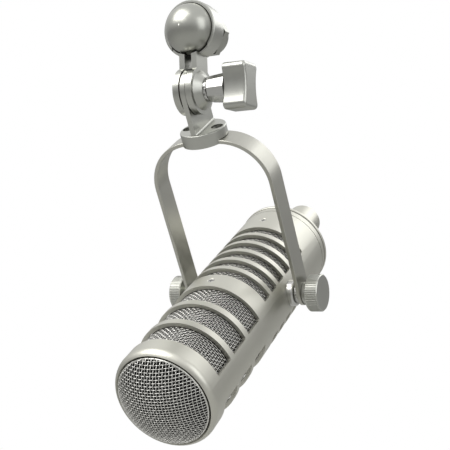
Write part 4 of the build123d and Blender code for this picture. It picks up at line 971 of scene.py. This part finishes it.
@dataclass
class Studio:
    """A pale floor, soft lights and the camera."""

    axes: Axes
    floor_drop: float = 0.30
    floor_radius: float = 9.0
    lens: float = 75.6
    roll: float = math.radians(-1.85)
    camera_side: float = 0.26065
    camera_front: float = 0.47713
    camera_up: float = 0.26141
    forward: Vector = field(default_factory=lambda: Vector((-0.452, 0.892, 0.014)))
    lamps: tuple[Lamp, ...] = (
        Lamp("key", -35.0, 52.0, 1.3, 1.1, 0.9, 11.0, (1.0, 0.99, 0.97)),
        Lamp("fill", 75.0, 20.0, 1.5, 0.8, 1.2, 4.0, (0.98, 0.99, 1.0)),
        Lamp("rim", 160.0, 35.0, 1.4, 0.9, 0.9, 4.0),
    )

    def _camera(self) -> None:
        """Places the camera in front of the dome, to the right of it."""
        data = bpy.data.cameras.new("camera")
        data.lens = self.lens
        data.clip_start, data.clip_end = 0.01, 60.0
        camera = bpy.data.objects.new("camera", data)
        camera.location = (self.axes.pivot + self.axes.side * self.camera_side
                           - self.axes.back * self.camera_front + self.axes.up * self.camera_up)
        looking = self.forward.normalized().to_track_quat("-Z", "Y")
        camera.rotation_mode = "QUATERNION"
        camera.rotation_quaternion = looking @ Matrix.Rotation(self.roll, 3, "Z").to_quaternion()
        bpy.context.scene.collection.objects.link(camera)
        bpy.context.scene.camera = camera

    def _lamp(self, lamp: Lamp, target: Vector) -> None:
        """Hangs one light, facing the object."""
        data = bpy.data.lights.new(lamp.name, "AREA")
        data.shape, data.size, data.size_y = "RECTANGLE", lamp.width, lamp.height
        data.energy, data.color = lamp.power, lamp.colour
        light = bpy.data.objects.new(lamp.name, data)
        turn, rise = math.radians(lamp.azimuth), math.radians(lamp.elevation)
        away = Vector((math.sin(turn) * math.cos(rise), -math.cos(turn) * math.cos(rise), math.sin(rise)))
        light.location = target + away * lamp.distance
        light.rotation_mode = "QUATERNION"
        light.rotation_quaternion = (-away).to_track_quat("-Z", "Y")
        bpy.context.scene.collection.objects.link(light)

    def _floor(self, height: float) -> bpy.types.Object:
        """A plain pale floor, white to the eye and softer in reflections."""
        steps = 64
        turn = np.linspace(0.0, 2.0 * math.pi, steps, endpoint=False)
        points = np.stack([self.floor_radius * np.cos(turn), self.floor_radius * np.sin(turn),
                           np.full(steps, height)], axis=1)
        floor = mesh_object("floor", points, [range(steps)])
        material = bpy.data.materials.new("pale floor")
        material.use_nodes = True
        tree = material.node_tree
        surface = tree.nodes["Principled BSDF"]
        surface.inputs["Base Color"].default_value = (0.42, 0.42, 0.41, 1.0)
        surface.inputs["Roughness"].default_value = 0.9
        glow = tree.nodes.new("ShaderNodeEmission")
        glow.inputs["Color"].default_value = (1.0, 1.0, 1.0, 1.0)
        path = tree.nodes.new("ShaderNodeLightPath")
        either = tree.nodes.new("ShaderNodeMixShader")
        tree.links.new(path.outputs["Is Camera Ray"], either.inputs["Fac"])
        tree.links.new(surface.outputs[0], either.inputs[1])
        tree.links.new(glow.outputs[0], either.inputs[2])
        tree.links.new(either.outputs[0], tree.nodes["Material Output"].inputs["Surface"])
        floor.data.materials.append(material)
        floor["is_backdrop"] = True
        return floor

    def _surround(self) -> None:
        """A white surround that is graded from bright above to darker below in reflections."""
        world = bpy.data.worlds.new("surround")
        world.use_nodes = True
        bpy.context.scene.world = world
        tree = world.node_tree
        background = tree.nodes["Background"]
        place = tree.nodes.new("ShaderNodeTexCoord")
        split = tree.nodes.new("ShaderNodeSeparateXYZ")
        tree.links.new(place.outputs["Generated"], split.inputs[0])
        ramp = tree.nodes.new("ShaderNodeValToRGB")
        stops = ((0.0, 0.08), (0.44, 0.18), (0.56, 0.50), (0.75, 0.86), (1.0, 0.98))
        lift = tree.nodes.new("ShaderNodeMapRange")
        lift.inputs["From Min"].default_value = -1.0
        tree.links.new(split.outputs["Z"], lift.inputs["Value"])
        tree.links.new(lift.outputs["Result"], ramp.inputs["Fac"])
        for position, value in stops[1:-1]:
            ramp.color_ramp.elements.new(position).color = (value, value, value, 1.0)
        ends = ((ramp.color_ramp.elements[0], stops[0]), (ramp.color_ramp.elements[-1], stops[-1]))
        for element, (_, value) in ends:
            element.color = (value, value, value, 1.0)
        path = tree.nodes.new("ShaderNodeLightPath")
        seen = tree.nodes.new("ShaderNodeMix")
        seen.data_type = "RGBA"
        colours = [socket for socket in seen.inputs if socket.type == "RGBA"]
        colours[1].default_value = (1.0, 1.0, 1.0, 1.0)
        tree.links.new(path.outputs["Is Camera Ray"], seen.inputs["Factor"])
        tree.links.new(ramp.outputs["Color"], colours[0])
        result = next(socket for socket in seen.outputs if socket.type == "RGBA")
        tree.links.new(result, background.inputs["Color"])

    def build(self, low: Vector, high: Vector) -> None:
        """Sets up the whole studio.

        Args:
            low: Lowest corner of the object.
            high: Highest corner of the object.
        """
        bpy.context.scene.view_settings.view_transform = "Standard"
        self._surround()
        self._floor(low.z - self.floor_drop)
        for lamp in self.lamps:
            self._lamp(lamp, (low + high) / 2.0)
        self._camera()


# ---------------------------------------------------------------- main
def station_spans(axes: Axes, frame: dict, names: Iterable[str]) -> dict[str, tuple[float, float]]:
    """Start and end of CAD nodes along the microphone's axis.

    Args:
        axes: The microphone's directions.
        frame: The loaded frame.
        names: The nodes wanted.

    Returns:
        The two distances of each node.
    """
    spans = {}
    for name in names:
        stations = [(vertex.co - axes.pivot).dot(axes.back) for vertex in frame["nodes"][name].data.vertices]
        spans[name] = (min(stations), max(stations))
    return spans


def main(frame: dict) -> None:
    """Builds every piece on the frame, then the studio.

    Args:
        frame: The loaded frame.
    """
    logging.basicConfig(level=logging.INFO)
    axes = Axes.of(frame)
    shelf = FinishShelf(axes)
    shelf.dress_nodes(frame)
    names = ("front_sleeve", "rear_sleeve", "pop_foam", "damping_felt")
    spans = station_spans(axes, frame, names)
    front, rear = spans["front_sleeve"], spans["rear_sleeve"]
    made = DomeGrille(axes).build(shelf)
    made += WindowGrille(axes, "front_weave", "front_sleeve", front[0] + WEAVE_MARGIN,
                         front[1] - WEAVE_MARGIN, FRONT_WEAVE_RAIL).build(shelf)
    made += WindowGrille(axes, "rear_weave", "rear_sleeve", rear[0] + WEAVE_MARGIN,
                         rear[1] - WEAVE_MARGIN, REAR_WEAVE_RAIL).build(shelf)
    made += SoftInside(axes).build(shelf, spans)
    made += StandThread().build(shelf)
    for piece in made:
        LOG.info("%s: %d faces", piece.name, len(piece.data.polygons))
    low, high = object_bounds()
    Studio(axes).build(low, high)


if __name__ == "__main__":
    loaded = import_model()
    main(loaded)
